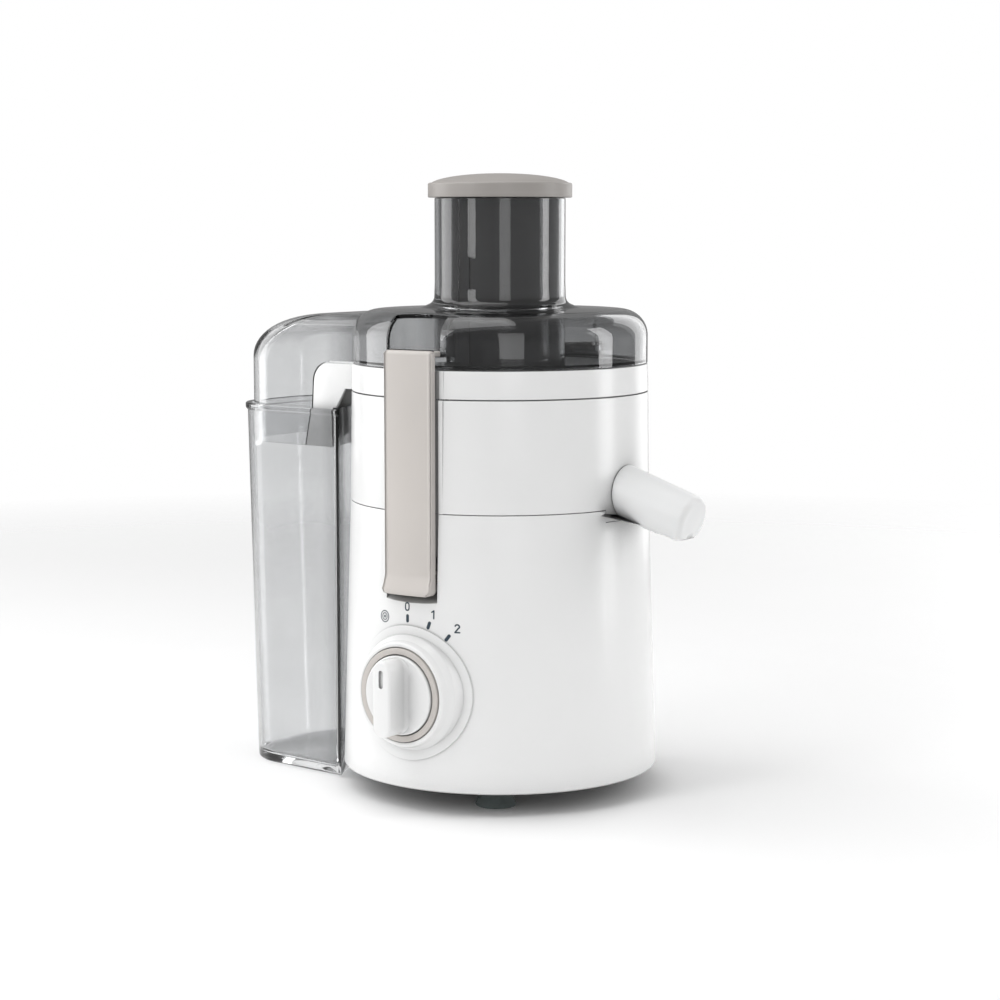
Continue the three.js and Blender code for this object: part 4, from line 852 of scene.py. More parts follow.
@dataclass
class Base:
    """Motor base: its shell with dial and clamp seats, marks, feet and mains inlet."""

    shop: Workshop
    wall: float = 2.8
    boss_r: float = 21.0
    boss_inner_r: float = 17.0
    boss_rise: float = 12.0
    boss_lip: float = 6.0
    shaft_way_r: float = 11.0
    channel_half: float = 17.7
    channel_depth: float = 3.4
    channel_rim: float = 2.4
    channel_corner: float = 2.0
    seat_drop: float = 15.0
    seat_foot: float = 4.4
    seat_rim: float = 7.0
    dial_r: float = 38.2
    cup_r: float = 29.3
    trim_r: float = 26.7
    trim_inner_r: float = 23.2
    spindle_way_r: float = 9.0
    notch_r: float = 81.2
    notch_half: float = 19.7
    notch_drop: float = 6.7
    inlet_r: float = 6.5
    press_way_r: float = 2.5

    def outside(self, proud: float) -> list[Point]:
        """The outer profile, standing proud by a margin."""
        at = self.shop.layout
        return rounded([(0, at.base), (at.foot_r + proud, at.base, 1.0),
                        (at.body_r + proud, at.bowl, 0.6), (0, at.bowl)], closed=False)

    def facing_front(self, solid: Solid) -> Solid:
        """Turns a solid drawn about +Z to face the front, about the knob's axis."""
        return solid.spun(90, "X").moved(z=self.shop.layout.knob_z)

    def shell(self) -> Solid:
        """Outer wall, deck and the boss around the shaft."""
        at = self.shop.layout
        deck = at.bowl - DECK_DROP
        under = deck - self.wall
        top, lip = at.bowl + self.boss_rise, at.bowl + self.boss_lip
        return ring(rounded([
            (at.foot_r, at.base, 1.0), (at.body_r, at.bowl, 0.6), (at.body_r - self.wall, at.bowl),
            (at.body_r - self.wall, deck, 1.5), (self.boss_r, deck, 2.0), (self.boss_r, top, 1.0),
            (self.shaft_way_r, top), (self.shaft_way_r, lip), (self.boss_inner_r, lip),
            (self.boss_inner_r, under), (at.radius_at(under) - self.wall, under, 2.0),
            (at.foot_r - self.wall, at.base),
        ]))

    def with_channels(self, shell: Solid, outer: float, low: float, high: float, foot: float) -> Solid:
        """Cuts the clamps' channels, with material behind them.

        Args:
            shell: the solid that is cut.
            outer: its outer radius.
            low: lower end of the material behind the channels.
            high: the solid's top, where the channels run out.
            foot: where the channels start; above the low end, their lower corners are rounded.

        Returns:
            The solid with both channels.
        """
        at = self.shop.layout
        side = self.channel_half + self.channel_rim
        flat = at.body_r - self.channel_depth
        backing = block((-side, side), (-outer, -flat + self.wall), (low, high))
        backing = backing & cylinder(outer, low, high)
        corner = self.channel_corner if foot > low else 0.0
        channel = raised(rounded([
            (-self.channel_half, foot, corner), (self.channel_half, foot, corner),
            (self.channel_half, high + PAST), (-self.channel_half, high + PAST)]), flat, outer + 9)
        return shell + backing.pair() - channel.spun(90, "X").pair()

    def recess(self, low: float) -> Solid:
        """The hollow that a clamp's foot swings into, on the front."""
        at = self.shop.layout
        outside, inside = -at.foot_r - 9, -at.body_r + 12
        floor, high = low + self.seat_foot, low + 27
        return crosswise([(outside, low - 1.2), (-at.radius_at(low), low + 0.2), (-at.body_r + 6.4, floor),
                          (inside, floor), (inside, high), (outside, high)], self.channel_half)

    def press_way(self) -> Solid:
        """The hole in the deck for the pin that the bowl presses."""
        at = self.shop.layout
        low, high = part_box("interlock_pin")
        middle = ((low + high) / 2 - at.axis) / MM
        way = cylinder(self.press_way_r, at.bowl - 14, at.bowl - 9, SMALL_TURN)
        return way.moved(middle.x, middle.y)

    def housing(self) -> Solid:
        """The whole shell."""
        at = self.shop.layout
        low = at.pivot_z - self.seat_drop
        side = self.channel_half + self.seat_rim
        seat = block((-side, side), (-at.foot_r, -at.body_r + 15), (low - 3, low + 35))
        seat = seat & turned(self.outside(0))
        pin = cylinder(PIN_WAY_R, -self.channel_half - 3, self.channel_half + 3, SMALL_TURN)
        pin = pin.spun(90, "Y").moved(0, -at.body_r + PIN_INSET, at.pivot_z)
        shell = self.with_channels(self.shell() + seat.pair(), at.body_r, low, at.bowl, low + self.seat_foot)
        shell = self.with_dial(shell - self.recess(low).pair() - pin.pair())
        notch = block((self.notch_r, at.foot_r + PAST), (-self.notch_half, self.notch_half),
                      (at.bowl - self.notch_drop, at.bowl + PAST))
        inlet = cylinder(self.inlet_r, at.foot_r - 8, at.foot_r + 2, SMALL_TURN)
        inlet = inlet.spun(-90, "X").moved(z=at.base + INLET_RISE)
        return shell - notch - inlet - self.press_way()

    def with_dial(self, shell: Solid) -> Solid:
        """Adds the raised round dial and the cup that the knob sits in."""
        at = self.shop.layout
        front = at.foot_r
        face, floor = front + CUP_RISE, front + 2
        skin = turned(self.outside(1.2))
        dial = turned([(0, front - 18), (self.dial_r + 0.9, front - 18), (self.dial_r + 0.5, front - 6),
                       (self.dial_r - 0.3, front + 3), (0, front + 3)], MID_TURN)
        cup = turned(rounded([(0, front - 8), (34.6, front - 8), (33.2, front - 0.6, 3.0),
                              (self.cup_r + 1.4, face - 3.6, 2.0), (self.cup_r + 0.2, face, 1.5),
                              (0, face)], closed=False), MID_TURN)
        under = at.bowl - DECK_DROP - self.wall
        hollow = turned([(0, at.base - PAST), (at.foot_r - self.wall, at.base - PAST),
                         (at.radius_at(under) - self.wall, under), (0, under)])
        seat_r, mouth_r = self.trim_r + GAP, self.trim_r + 1.1
        well = turned(rounded([(0, floor), (seat_r, floor), (seat_r, face - 0.5), (mouth_r, face + 0.3),
                               (mouth_r, face + 2), (0, face + 2)], closed=False), MID_TURN)
        back = cylinder(self.cup_r - self.wall, front - 20, floor - self.wall, MID_TURN)
        hole = cylinder(self.spindle_way_r, front - 20, face, SMALL_TURN)
        shell = shell + ((self.facing_front(dial) & skin) + self.facing_front(cup) - hollow)
        return shell - self.facing_front(well) - self.facing_front(back) - self.facing_front(hole)

    def marks(self) -> Solid:
        """The printed bars, digits and pulse symbol, following the wall."""
        low, high = 60.0, 100.0
        bar_width, digit_width, dot_width = 1.9, 0.75, 1.5
        pulse_angle, pulse_reach = -24.5, 45.6
        drawn: list[Solid] = []

        def at_angle(path: list[Point], degrees: float, reach: float, width: float,
                     upright: bool = True) -> Solid:
            """A drawn path set at an angle around the knob, clockwise from the top."""
            line = stroke(path, width, low, high)
            place = math.radians(90 - degrees)
            if not upright:
                line = line.spun(-degrees)
            return line.moved(reach * math.cos(place), reach * math.sin(place))

        for angle, reach in ((-1.9, 42.2), (18.0, 41.4), (36.2, 41.0)):
            drawn.append(at_angle([(0, -1.4), (0, 1.4)], angle, reach, bar_width, upright=False))
        zero = arc((0, 0.9), (1.25, 1.25), 0, 180, 8) + arc((0, -0.9), (1.25, 1.25), 180, 360, 8)
        drawn.append(at_angle(zero + zero[:1], -2.0, 48.9, digit_width))
        drawn.append(at_angle([(-1.0, 1.3), (0.3, 2.2), (0.3, -2.2)], 18.8, 48.2, digit_width))
        two = arc((0, 1.0), (1.2, 1.2), 160, -20, 8) + [(0.55, 0.1), (-1.2, -2.2), (1.35, -2.2)]
        drawn.append(at_angle(two, 37.4, 48.6, digit_width))
        for radius, width in ((3.2, 0.5), (1.9, 0.45)):
            hoop = arc((0, 0), (radius, radius), 0, 360, 24)
            drawn.append(at_angle(hoop, pulse_angle, pulse_reach, width))
        drawn.append(at_angle([(-0.1, 0), (0.1, 0)], pulse_angle, pulse_reach, dot_width))
        ink = drawn[0]
        for more in drawn[1:]:
            ink = ink + more
        at = self.shop.layout
        skin = ring([(at.foot_r + 0.1, at.base), (at.body_r + 0.1, at.bowl), (at.body_r - 0.4, at.bowl),
                     (at.foot_r - 0.4, at.base)])
        return self.facing_front(ink) & skin

    def foot(self) -> Solid:
        """A suction cup with its stem."""
        top, rim_r, stem_r, tip = 12.9, 11.75, 3, 19.6
        return turned(rounded([
            (0, 3.2), (7.2, 1.7), (9.1, 0, 0.4), (rim_r, 0, 0.5), (rim_r, 1.0, 0.4), (7.4, top - 3.8, 2.0),
            (6.6, top, 0.4), (stem_r, top), (stem_r, 16.3), (4.3, 16.7), (stem_r, tip), (0, tip)],
            closed=False), SMALL_TURN)

    def trim(self) -> Solid:
        """The grey ring in the knob's cup."""
        low, high = self.shop.layout.foot_r + 2.3, self.shop.layout.foot_r + CUP_RISE + 1.0
        profile = rounded([(self.trim_inner_r, low), (self.trim_r, low), (self.trim_r, high, 0.6),
                           (self.trim_inner_r, high, 0.5)])
        return self.facing_front(ring(profile, MID_TURN))

    def gland(self) -> Solid:
        """The rubber gland of the mains inlet, without a cord."""
        at = self.shop.layout
        wall, way_r = at.radius_at(at.base + INLET_RISE), 3.6
        profile = rounded([(way_r, wall - 6), (8.4, wall - 6), (8.4, wall - 3.6), (6.1, wall - 3.6),
                           (6.1, wall + 0.5), (8.6, wall + 0.5, 0.4), (7.6, wall + 2.6, 0.8),
                           (way_r, wall + 2.6, 0.6)])
        return ring(profile, SMALL_TURN).spun(-90, "X").moved(z=at.base + INLET_RISE)

    def build(self) -> None:
        """Makes every piece of the base."""
        shop, at = self.shop, self.shop.layout
        shop.piece("base_shell", self.housing(), Slot.WHITE, Body.BASE, ("base_housing",))
        shop.piece("dial_marks", self.marks(), Slot.DARK, Body.BASE, material=shop.finishes.ink)
        shop.piece("knob_ring", self.trim(), Slot.WARM, Body.BASE, ("knob_trim",))
        for node in ("foot_front_right", "foot_back_right", "foot_front_left", "foot_back_left"):
            low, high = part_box(node)
            middle = ((low + high) / 2 - at.axis) / MM
            cup = self.foot().moved(middle.x, middle.y)
            shop.piece("cup_" + node, cup, Slot.RUBBER, Body.BASE, (node,))
        shop.piece("cord_gland", self.gland(), Slot.RUBBER, Body.BASE, ("mains_inlet",))
        shop.dress(Slot.DARK, "base_plate")
        shop.dress(Slot.STEEL, *[f"base_screw_{i}" for i in range(1, 5)])


@dataclass
class Knob:
    """The speed knob: a round disc with a tall grip."""

    shop: Workshop
    radius: float = 22.6
    stem_r: float = 7.5
    bore_r: float = 3.35
    rise: float = 9.0
    grip_rise: float = 15.0
    grip_long: float = 43.5
    grip_wide: float = 12.0
    slot_r: float = 1.5

    def solid(self) -> Solid:
        """The knob's shape, drawn about +Z."""
        front = self.shop.layout.foot_r
        floor, face = front + 2.3, front + self.rise
        top = face + self.grip_rise
        disc = turned(rounded([(0, floor), (self.radius, floor), (self.radius, face, 1.2), (14, face + 0.2),
                               (0, face + 0.2)], closed=False), MID_TURN)
        stem = cylinder(self.stem_r, front - 10, floor + 1, SMALL_TURN)
        half = self.grip_wide / 2
        straight = self.grip_long / 2 - half
        flare = [(face - 1.5, -3.4), (face + 0.1, -2.6), (face + 0.5, -1.5), (face + 1.2, -0.7),
                 (face + 2.4, -0.25)]
        edge = 1.5
        crown = [(top - edge + edge * math.sin(a), edge * (1 - math.cos(a)))
                 for a in (math.radians(15 * k) for k in range(7))]
        levels = []
        for z, inset in flare + crown:
            long = straight - max(0.0, -inset) * 0.9
            levels.append((z, stadium(half - inset, long)))
        grip = lofted(levels)
        limit = cylinder(self.radius - 0.2, face - 3, top + 2, MID_TURN)
        slot_top = self.grip_long / 2 - 5.25
        slot = raised(stadium(self.slot_r, 3.6), top - 1.5, top + PAST).moved(y=slot_top - 5)
        bore = cylinder(self.bore_r, front - 12, front + 6, SMALL_TURN)
        return disc + stem + (grip & limit) - slot - bore

    def build(self) -> None:
        """Makes the knob and dresses its spindle."""
        placed = self.solid().spun(90, "X").moved(z=self.shop.layout.knob_z)
        self.shop.piece("speed_knob", placed, Slot.WHITE, Body.KNOB, ("knob",), smooth=40)
        self.shop.dress(Slot.DARK, "knob_spindle")


# ---------------------------------------------------------------- bowl, spout and collar


@dataclass
class Bowl:
    """The juice bowl with its spout, and the collar with the pulp chute."""

    shop: Workshop
    base: Base
    wall: float = 2.8
    floor_r: float = 78.4
    inner_r: float = 25.0
    inner_wall: float = 2.5
    inner_rise: float = 20.0
    nest_drop: float = 6.0
    tab_half: float = 19.4
    slope: float = 17.4
    spout_length: float = 46.0
    spout_wide: float = 14.2
    spout_bore_r: float = 12.0
    mouth_r: float = 8.5

    def along_spout(self, solid: Solid) -> Solid:
        """Lays a solid drawn about +Z along the spout's axis."""
        at = self.shop.layout
        return solid.spun(90 + self.slope, "Y").moved(at.body_r, 0, at.bowl + SPOUT_RISE)

    def bowl(self) -> Solid:
        """The bowl with its tab and drain."""
        at = self.shop.layout
        top, low, nest = at.collar - GAP, at.bowl + GAP, at.bowl - self.nest_drop
        inner_top, way_r = at.bowl + self.inner_rise, self.inner_r - self.inner_wall
        notch_r = self.base.notch_r
        shell = ring(rounded([
            (at.body_r, low, 0.6), (at.collar_r, top, 0.6), (at.collar_r - 2.4, top),
            (at.body_r - self.wall, low + 4, 2.0), (self.floor_r, low, 1.0), (self.floor_r, nest + 3, 2.0),
            (self.inner_r, nest + 3, 2.0), (self.inner_r, inner_top, 1.0), (way_r, inner_top, 1.0),
            (way_r, nest), (notch_r, nest), (notch_r, low),
        ]))
        shell = self.base.with_channels(shell, at.body_r, low, top, low - PAST)
        tab = block((79.2, at.body_r + PAST), (-self.tab_half, self.tab_half), (at.bowl - 6.4, at.bowl + 3))
        tab = tab & cylinder(at.body_r, nest - 2, at.bowl + 4)
        neck = self.along_spout(cylinder(13.9, -9, 12, MID_TURN))
        drain = self.along_spout(cylinder(self.spout_bore_r, -26, 2, MID_TURN))
        drain = drain & block((0, at.body_r), (-40, 40), (nest + 1.2, at.collar))
        return shell + tab - neck - drain

    def spout(self) -> Solid:
        """The tapered spout with its mouth under the tip."""
        at = self.shop.layout
        tip, bore_r = self.spout_length, self.spout_bore_r
        body = turned(rounded([(0, -10), (15.4, -10), (self.spout_wide, tip, 5.0), (6.5, tip - 0.1),
                               (5.5, tip), (0, tip)], closed=False, grain=9), MID_TURN)
        reach = tip - 14
        angle = math.radians(self.slope)
        mouth_x = at.body_r + reach * math.cos(angle)
        mouth_z = at.bowl + SPOUT_RISE - reach * math.sin(angle)
        lowest = mouth_z - self.spout_wide
        bore = turned(rounded([(0, -20), (bore_r, -20), (bore_r, tip - 2.6, 5.0), (0, tip - 2.4)],
                              closed=False), MID_TURN)
        neck = cylinder(13.6, -6, 4, MID_TURN)
        mouth = cylinder(self.mouth_r, lowest - 6, mouth_z, SMALL_TURN).moved(mouth_x)
        under = block((0, 186), (-93, 93), (lowest - 40, lowest))
        shell = self.along_spout(body) - cylinder(at.body_r + 0.25, 0, at.lid)
        return shell + self.along_spout(neck) - self.along_spout(bore) - mouth - under

    def collar(self, tank: "Tank") -> Solid:
        """The collar's ring with the chute over the tank's rim."""
        at = self.shop.layout
        low = at.collar + GAP
        shelf, lip = low + 2.3, at.collar + 6.4
        inner = at.collar_r - self.wall
        lip_r, lip_inner_r = 70.9, 68.5
        rib, rib_inner = inner - GAP, inner - 2.4
        band = ring(rounded([
            (at.collar_r, low, 0.5), (at.collar_r - 0.5, at.lid, 0.7), (inner, at.lid, 0.3),
            (inner, shelf, 1.0), (lip_r, shelf), (lip_r, lip, 0.5), (lip_inner_r, lip, 0.5),
            (lip_inner_r, low), (rib_inner, low), (rib_inner, low - 5, 0.4), (rib, low - 5, 0.4), (rib, low),
        ]))
        gap = block((-22, 22), (-at.collar_r - PAST, -at.collar_r + 12), (low - 6, low)).pair()
        band = self.base.with_channels(band - gap, at.collar_r, low, at.lid, low - PAST)
        under, over = tank.chute_low - PAST, at.lid + PAST
        plan = raised(tank.outline(tank.chute_inset), tank.chute_low, at.lid - 1)
        clear = raised(tank.outline(tank.chute_inset + 2.4), under, over)
        near = at.foot_r + SKIRT_OUT
        far = near + 2.2
        walls = softened((plan - clear) & sideways(tank.arm_side(0), at.body_r), 0.7)
        walls = walls - cylinder(at.collar_r - 1, under, over) - cylinder(near, under, at.tank_top + 0.6)
        walls = walls - cylinder(at.body_r + 0.6, under, low)
        skirt = ring([(near, tank.chute_low), (far, tank.chute_low), (far, shelf), (near, shelf)]) & plan
        floor = ring([(inner - 1, low), (near + 1, low), (near + 1, shelf), (inner - 1, shelf)]) & plan
        passage = clear & block((-at.collar_r - 3, 0), (-93, 93), (shelf, over))
        return band - passage + walls + skirt + floor

    def build(self, tank: "Tank") -> None:
        """Makes the bowl, the spout and the collar."""
        self.shop.piece("bowl_shell", self.bowl(), Slot.WHITE, Body.BASE, ("juice_bowl",))
        self.shop.piece("spout_shell", self.spout(), Slot.FROST, Body.BASE, ("juice_spout",), bevel=0.5)
        self.shop.piece("collar_shell", self.collar(tank), Slot.WHITE, Body.BASE, ("chute_collar",))
        self.shop.dress(Slot.RUBBER, "bowl_seal", "shaft_seal")


# ---------------------------------------------------------------- tank


@dataclass
class Tank:
    """The pulp tank, and the plan outline that the chute and the lid's hood share with it."""

    shop: Workshop
    corner_r: float = 36.0
    corner_y: float = 14.0
    side_angle: float = math.radians(4.4)
    wall: float = 2.2
    flare: float = 1.2
    chute_inset: float = 5.2
    chute_drop: float = 23.0
    lean: float = 6.5
    gap: float = 2.5
    inner_x: float = -44.0

    @property
    def chute_low(self) -> float:
        """Lower edge of the skirts that hang in the tank."""
        return self.shop.layout.tank_top - self.chute_drop

    @property
    def near(self) -> float:
        """Radius of the tank's near face, which clears the base."""
        return self.shop.layout.foot_r + self.gap

    def outline(self, inset: float, steps: int = 20) -> list[Point]:
        """The plan outline drawn inward by an inset."""
        centre = self.shop.layout.tank_far + self.corner_r
        radius = self.corner_r - inset
        normal = Vector((-math.sin(self.side_angle), -math.cos(self.side_angle)))
        tangent = Vector((centre, -self.corner_y)) + radius * normal
        reach = self.inner_x - tangent.x
        inner = (self.inner_x, tangent.y - reach * math.tan(self.side_angle))
        start = 270 - math.degrees(self.side_angle)
        lower = arc((centre, -self.corner_y), (radius, radius), start, 180, steps)
        upper = [(x, -y) for x, y in reversed(lower)]
        return [inner, *lower, *upper, (inner[0], -inner[1])]

    def half_width(self, x: float) -> float:
        """Half width of the outline at a place along X."""
        centre = self.shop.layout.tank_far + self.corner_r
        side = self.corner_r / math.cos(self.side_angle)
        return self.corner_y + side + (x - centre) * math.tan(self.side_angle)

    def arm_side(self, play: float) -> list[Point]:
        """Side view of the chute's arm, grown by play."""
        at = self.shop.layout
        width, low = 7.7, at.collar + GAP
        rim, outer, top = -at.collar_r * 0.6, -(self.near + width), at.lid - 1 + play
        inner = -(self.near - 11)
        return rounded([
            (rim, top), (outer + 1.6 - play, top, 12.0), (outer - play, at.tank_top),
            (outer - 5 - play, self.chute_low - play), (inner + play, self.chute_low - play),
            (inner + play, at.tank_top), (inner + width + play, low), (rim, low)], grain=8)

    def leaning(self, outline: list[Point], z: float) -> list[Point]:
        """An outline at a height, its far side leaning in below the rim."""
        at = self.shop.layout
        down = (at.tank_top - z) / (at.tank_top - at.tank_low)
        depth = -at.tank_far - self.near
        return [(x + self.lean * max(0.0, -x - self.near) / depth * down, y) for x, y in outline]

    def solid(self) -> Solid:
        """The tank: a leaning cup with a bead around its rim."""
        at = self.shop.layout
        top, low = at.tank_top, at.tank_low
        outer = self.cup(self.flare, [(low, 2.2), (low + 0.25, 1.3), (low + 0.9, 0.5), (low + 2.0, 0.0),
                                      (top - 0.5, 0.0), (top, 0.4)])
        hollow = self.cup(self.flare + self.wall, [(low + 5, 3.0), (low + 5.4, 1.6), (low + 6.4, 0.6),
                                                   (low + 8, 0.0), (top + PAST, 0.0)])
        bead = lofted([(z, self.outline(inset)) for z, inset in (
            (top - 4, 0.7), (top - 3.2, 0.15), (top - 2.4, 0.0), (top - 0.6, 0.0), (top, 0.6))])
        bead = bead - raised(self.outline(self.wall), top - 5, top + PAST)
        body = outer + bead - cylinder(self.near, low - PAST, top + PAST)
        return body - (hollow - cylinder(self.near + self.wall, low - PAST, top + 2))

    def cup(self, inset: float, levels: list[Point]) -> Solid:
        """A filled cup of the tank's outline; each level is a height and what it draws in further."""
        return lofted([(z, self.leaning(self.outline(inset + further), z)) for z, further in levels])

    def build(self) -> None:
        """Makes the tank."""
        self.shop.piece("tank_shell", self.solid(), Slot.SMOKE, Body.TANK, ("pulp_tank",))


# ---------------------------------------------------------------- lid


@dataclass
class Lid:
    """The smoked lid: dome, hood over the tank, clamp pockets and feed tube."""

    shop: Workshop
    tank: Tank
    wall: float = 2.4
    shoulder: float = 16.0
    tube_r: float = 38.2
    tube_wall: float = 2.3
    hood_drop: float = 3.6
    hood_fall: float = 27.0
    hood_sweep: float = 62.0
    hood_shoulder: float = 12.0
    pocket_half: float = 18.0
    key_half: float = 3.7

    def dome(self) -> Solid:
        """The dome with the feed tube standing on it, both filled."""
        at = self.shop.layout
        r, top, low = at.lid_r, at.lid_top, at.lid + GAP
        profile = rounded([(0, low), (r, low, 0.5), (r, top, self.shoulder),
                           (self.tube_r + 8, top + 1.2, 9.0), (self.tube_r + 0.4, top + 4.6, 5.0),
                           (self.tube_r, top + 16),
                           (self.tube_r, at.tube_top, 0.5), (0, at.tube_top)], closed=False, grain=6)
        return turned(profile)

    def dome_hollow(self) -> Solid:
        """The room inside the dome."""
        at = self.shop.layout
        low, top, r = at.lid - PAST, at.lid_top - self.wall, at.lid_r - self.wall
        return turned(rounded([(0, low), (r, low), (r, top, self.shoulder - self.wall), (0, top + 0.6)],
                              closed=False, grain=6))

    def hood(self, inset: float, low: float) -> Solid:
        """The hood over the tank, drawn inward by an inset."""
        at = self.shop.layout
        top = at.lid_top - self.hood_drop - inset
        plan = self.tank.outline(self.tank.chute_inset + inset, 28)
        far, start = min(x for x, _ in plan), self.tank.inner_x
        half = self.tank.half_width(-at.body_r) - self.tank.chute_inset - inset
        levels = [(low, plan)]
        shoulder_low = top + 3 - self.hood_shoulder
        rises = [(top - self.hood_fall + self.hood_fall * math.sin(a), self.hood_sweep * (1 - math.cos(a)))
                 for a in (math.radians(6 * k) for k in range(15))]
        rises += [(top + rise, self.hood_sweep + run) for rise, run in ((0.35, 12), (1.1, 34), (1.5, 52))]
        for z, shift in rises:
            up = min(0.985, max(0.0, (z - shoulder_low) / self.hood_shoulder))
            narrower = 1 - self.hood_shoulder * (1 - math.sqrt(1 - up * up)) / half
            if shift > self.hood_sweep:
                narrower *= 1 - 0.16 * (shift - self.hood_sweep) / 52
            reach = (start - far - shift) / (start - far)
            levels.append((z, [(start + (x - start) * reach, y * narrower) for x, y in plan]))
        return lofted(levels)

    def skirt(self) -> Solid:
        """The skirt inside the collar, left out at the clamps and over the chute."""
        at = self.shop.layout
        low, r = at.lid + GAP, at.lid_r - 1.5
        inner, outer = r - 3.5, r - 1.4
        band = ring([(inner, low - 5), (outer, low - 5), (outer, low - 0.5), (r, low), (r, low + 3),
                     (inner, low + 1)])
        gaps = block((-22, 22), (-at.body_r, -at.body_r + 14), (low - 6, low)).pair()
        return band - gaps - raised(self.tank.outline(self.tank.chute_inset - 0.4), low - 6, low + 4)

    def solid(self) -> Solid:
        """The whole lid."""
        at = self.shop.layout
        low, under, top = at.lid + GAP, self.tank.chute_low, at.lid_top + 4
        near = at.foot_r + SKIRT_OUT + 2.6
        shell = self.dome() + (self.hood(0, under) - cylinder(near, under - PAST, low))
        half, side = self.pocket_half, self.pocket_half + self.wall
        pocket_y = at.lid_r - HOOK_REACH
        pocket = raised(rounded([(-half, at.ledge, 1.5), (half, at.ledge, 1.5), (half, top), (-half, top)]),
                        pocket_y, at.body_r + 4).spun(90, "X").pair()
        around = block((-side, side), (-at.body_r - 4, -pocket_y + self.wall),
                       (at.ledge - self.wall, top)).pair()
        bore_r = self.tube_r - self.tube_wall
        tube = ring([(bore_r, at.tube_end), (self.tube_r, at.tube_end), (self.tube_r, at.lid_top),
                     (bore_r, at.lid_top)])
        bore = cylinder(bore_r, at.tube_end - PAST, at.tube_top + PAST)
        beside = cylinder(self.tube_r - 0.1, at.tube_end - PAST, at.lid_top + PAST)
        key = block((-self.key_half, self.key_half), (-self.tube_r + 1, -bore_r + 1.7),
                    (at.tube_end, at.tube_top))
        hollow = self.dome_hollow() + self.hood(self.wall, under - PAST) - around - beside
        arm = sideways(self.tank.arm_side(0.5), at.body_r)
        arm = arm & raised(self.tank.outline(0), under - 2, low - 0.2)
        return shell - hollow - pocket + self.skirt() + tube - bore + key - arm

    def build(self) -> None:
        """Makes the lid."""
        self.shop.piece("lid_shell", self.solid(), Slot.SMOKE, Body.BASE, ("lid",))


# ---------------------------------------------------------------- pusher and clamps


@dataclass
class Pusher:
    """The pusher: an open dark cup with a domed cap."""

    shop: Workshop
    radius: float = 35.5
    wall: float = 3.0
    groove_half: float = 4.1
    cap_r: float = 42.05
    cap_high: float = 7.8

    def build(self) -> None:
        """Makes the cup and the cap."""
        at = self.shop.layout
        low, inner = at.tube_end + 1, self.radius - self.wall
        cup = turned(rounded([(0, low), (self.radius, low, 1.5), (self.radius, at.tube_top),
                              (inner, at.tube_top), (inner, low + 2.6, 2.0), (0, low + 2.6)], closed=False))
        groove = block((-self.groove_half, self.groove_half), (-self.radius - PAST, -self.radius + 1.8),
                       (low - PAST, at.tube_top + PAST))
        self.shop.piece("pusher_cup", cup - groove, Slot.DARK, Body.PUSHER, ("pusher_body",))
        foot, edge = at.tube_top + GAP, at.tube_top + self.cap_high
        crown = arc((0, edge - 0.6), (self.cap_r - 0.9, 7.1), 14, 90, 14)
        side = rounded([(0, foot), (self.cap_r - 2.0, foot), (self.cap_r, foot, 0.6),
                        (self.cap_r, edge, 1.6)], closed=False)
        rim = rounded([(self.cap_r, edge - 2), (self.cap_r, edge + 0.9, 2.0), crown[0]], closed=False)
        cap = turned(side[:-1] + rim[1:-1] + crown)
        self.shop.piece("pusher_lid", cap, Slot.CAP, Body.PUSHER, ("pusher_cap",))


@dataclass
class Clamps:
    """The two side clamps with their pins."""

    shop: Workshop
    half: float = 16.6
    proud: float = 4.6
    lip: float = 3.0
    foot_drop: float = 10.0
    crown_rise: float = 3.8
    knuckle_r: float = 3.6
    rounding: float = 0.8

    def solid(self) -> Solid:
        """The front clamp."""
        at = self.shop.layout
        foot, top, half = at.pivot_z - self.foot_drop, at.ledge + self.crown_rise, self.half
        outer, lip_r = at.body_r + self.proud, at.body_r + self.proud + self.lip
        back = at.lid_r + 0.6
        crown = rounded([(0, foot), (lip_r, foot, 0.9), (lip_r - 0.2, foot + 2.6, 2.0),
                         (outer, foot + 10.5, 9.0), (outer, top, 2.4), (0, top)], closed=False, grain=10)
        width = raised([(-half, -lip_r - 1), (half, -lip_r - 1), (half, -back), (-half, -back)],
                       foot - PAST, top + PAST)
        face = raised(rounded([(-half, foot, 3.0), (half, foot, 3.0), (half, top, 2.5), (-half, top, 2.5)],
                              grain=8), 60, lip_r + 2).spun(90, "X")
        hollow = block((-14, 14), (-outer + 2.8, -back + 1), (at.pivot_z + 8, at.ledge - 4))
        hook_y = at.lid_r - HOOK_REACH + 3
        hook = block((-half + 2.0, half - 2.0), (-back - 2, -hook_y), (at.ledge + GAP, top - 0.4))
        knuckle = cylinder(self.knuckle_r, -half + 2, half - 2, SMALL_TURN).spun(90, "Y")
        bore = cylinder(PIN_WAY_R, -half - PAST, half + PAST, SMALL_TURN).spun(90, "Y")
        pivot = (0.0, -at.body_r + PIN_INSET, at.pivot_z)
        plate = turned(crown) & width & face
        return plate - hollow + hook + knuckle.moved(*pivot) - bore.moved(*pivot)

    def build(self) -> None:
        """Makes both clamps and dresses their pins."""
        front = self.solid()
        back = front.spun(180)
        for side, solid, body in (("front", front, Body.CLAMP_FRONT), ("back", back, Body.CLAMP_BACK)):
            self.shop.piece(f"clamp_{side}_shell", solid, Slot.WARM, body, (f"clamp_{side}",),
                            bevel=self.rounding)
        self.shop.dress(Slot.STEEL, "clamp_pin_front", "clamp_pin_back")


# ---------------------------------------------------------------- strainer and motor


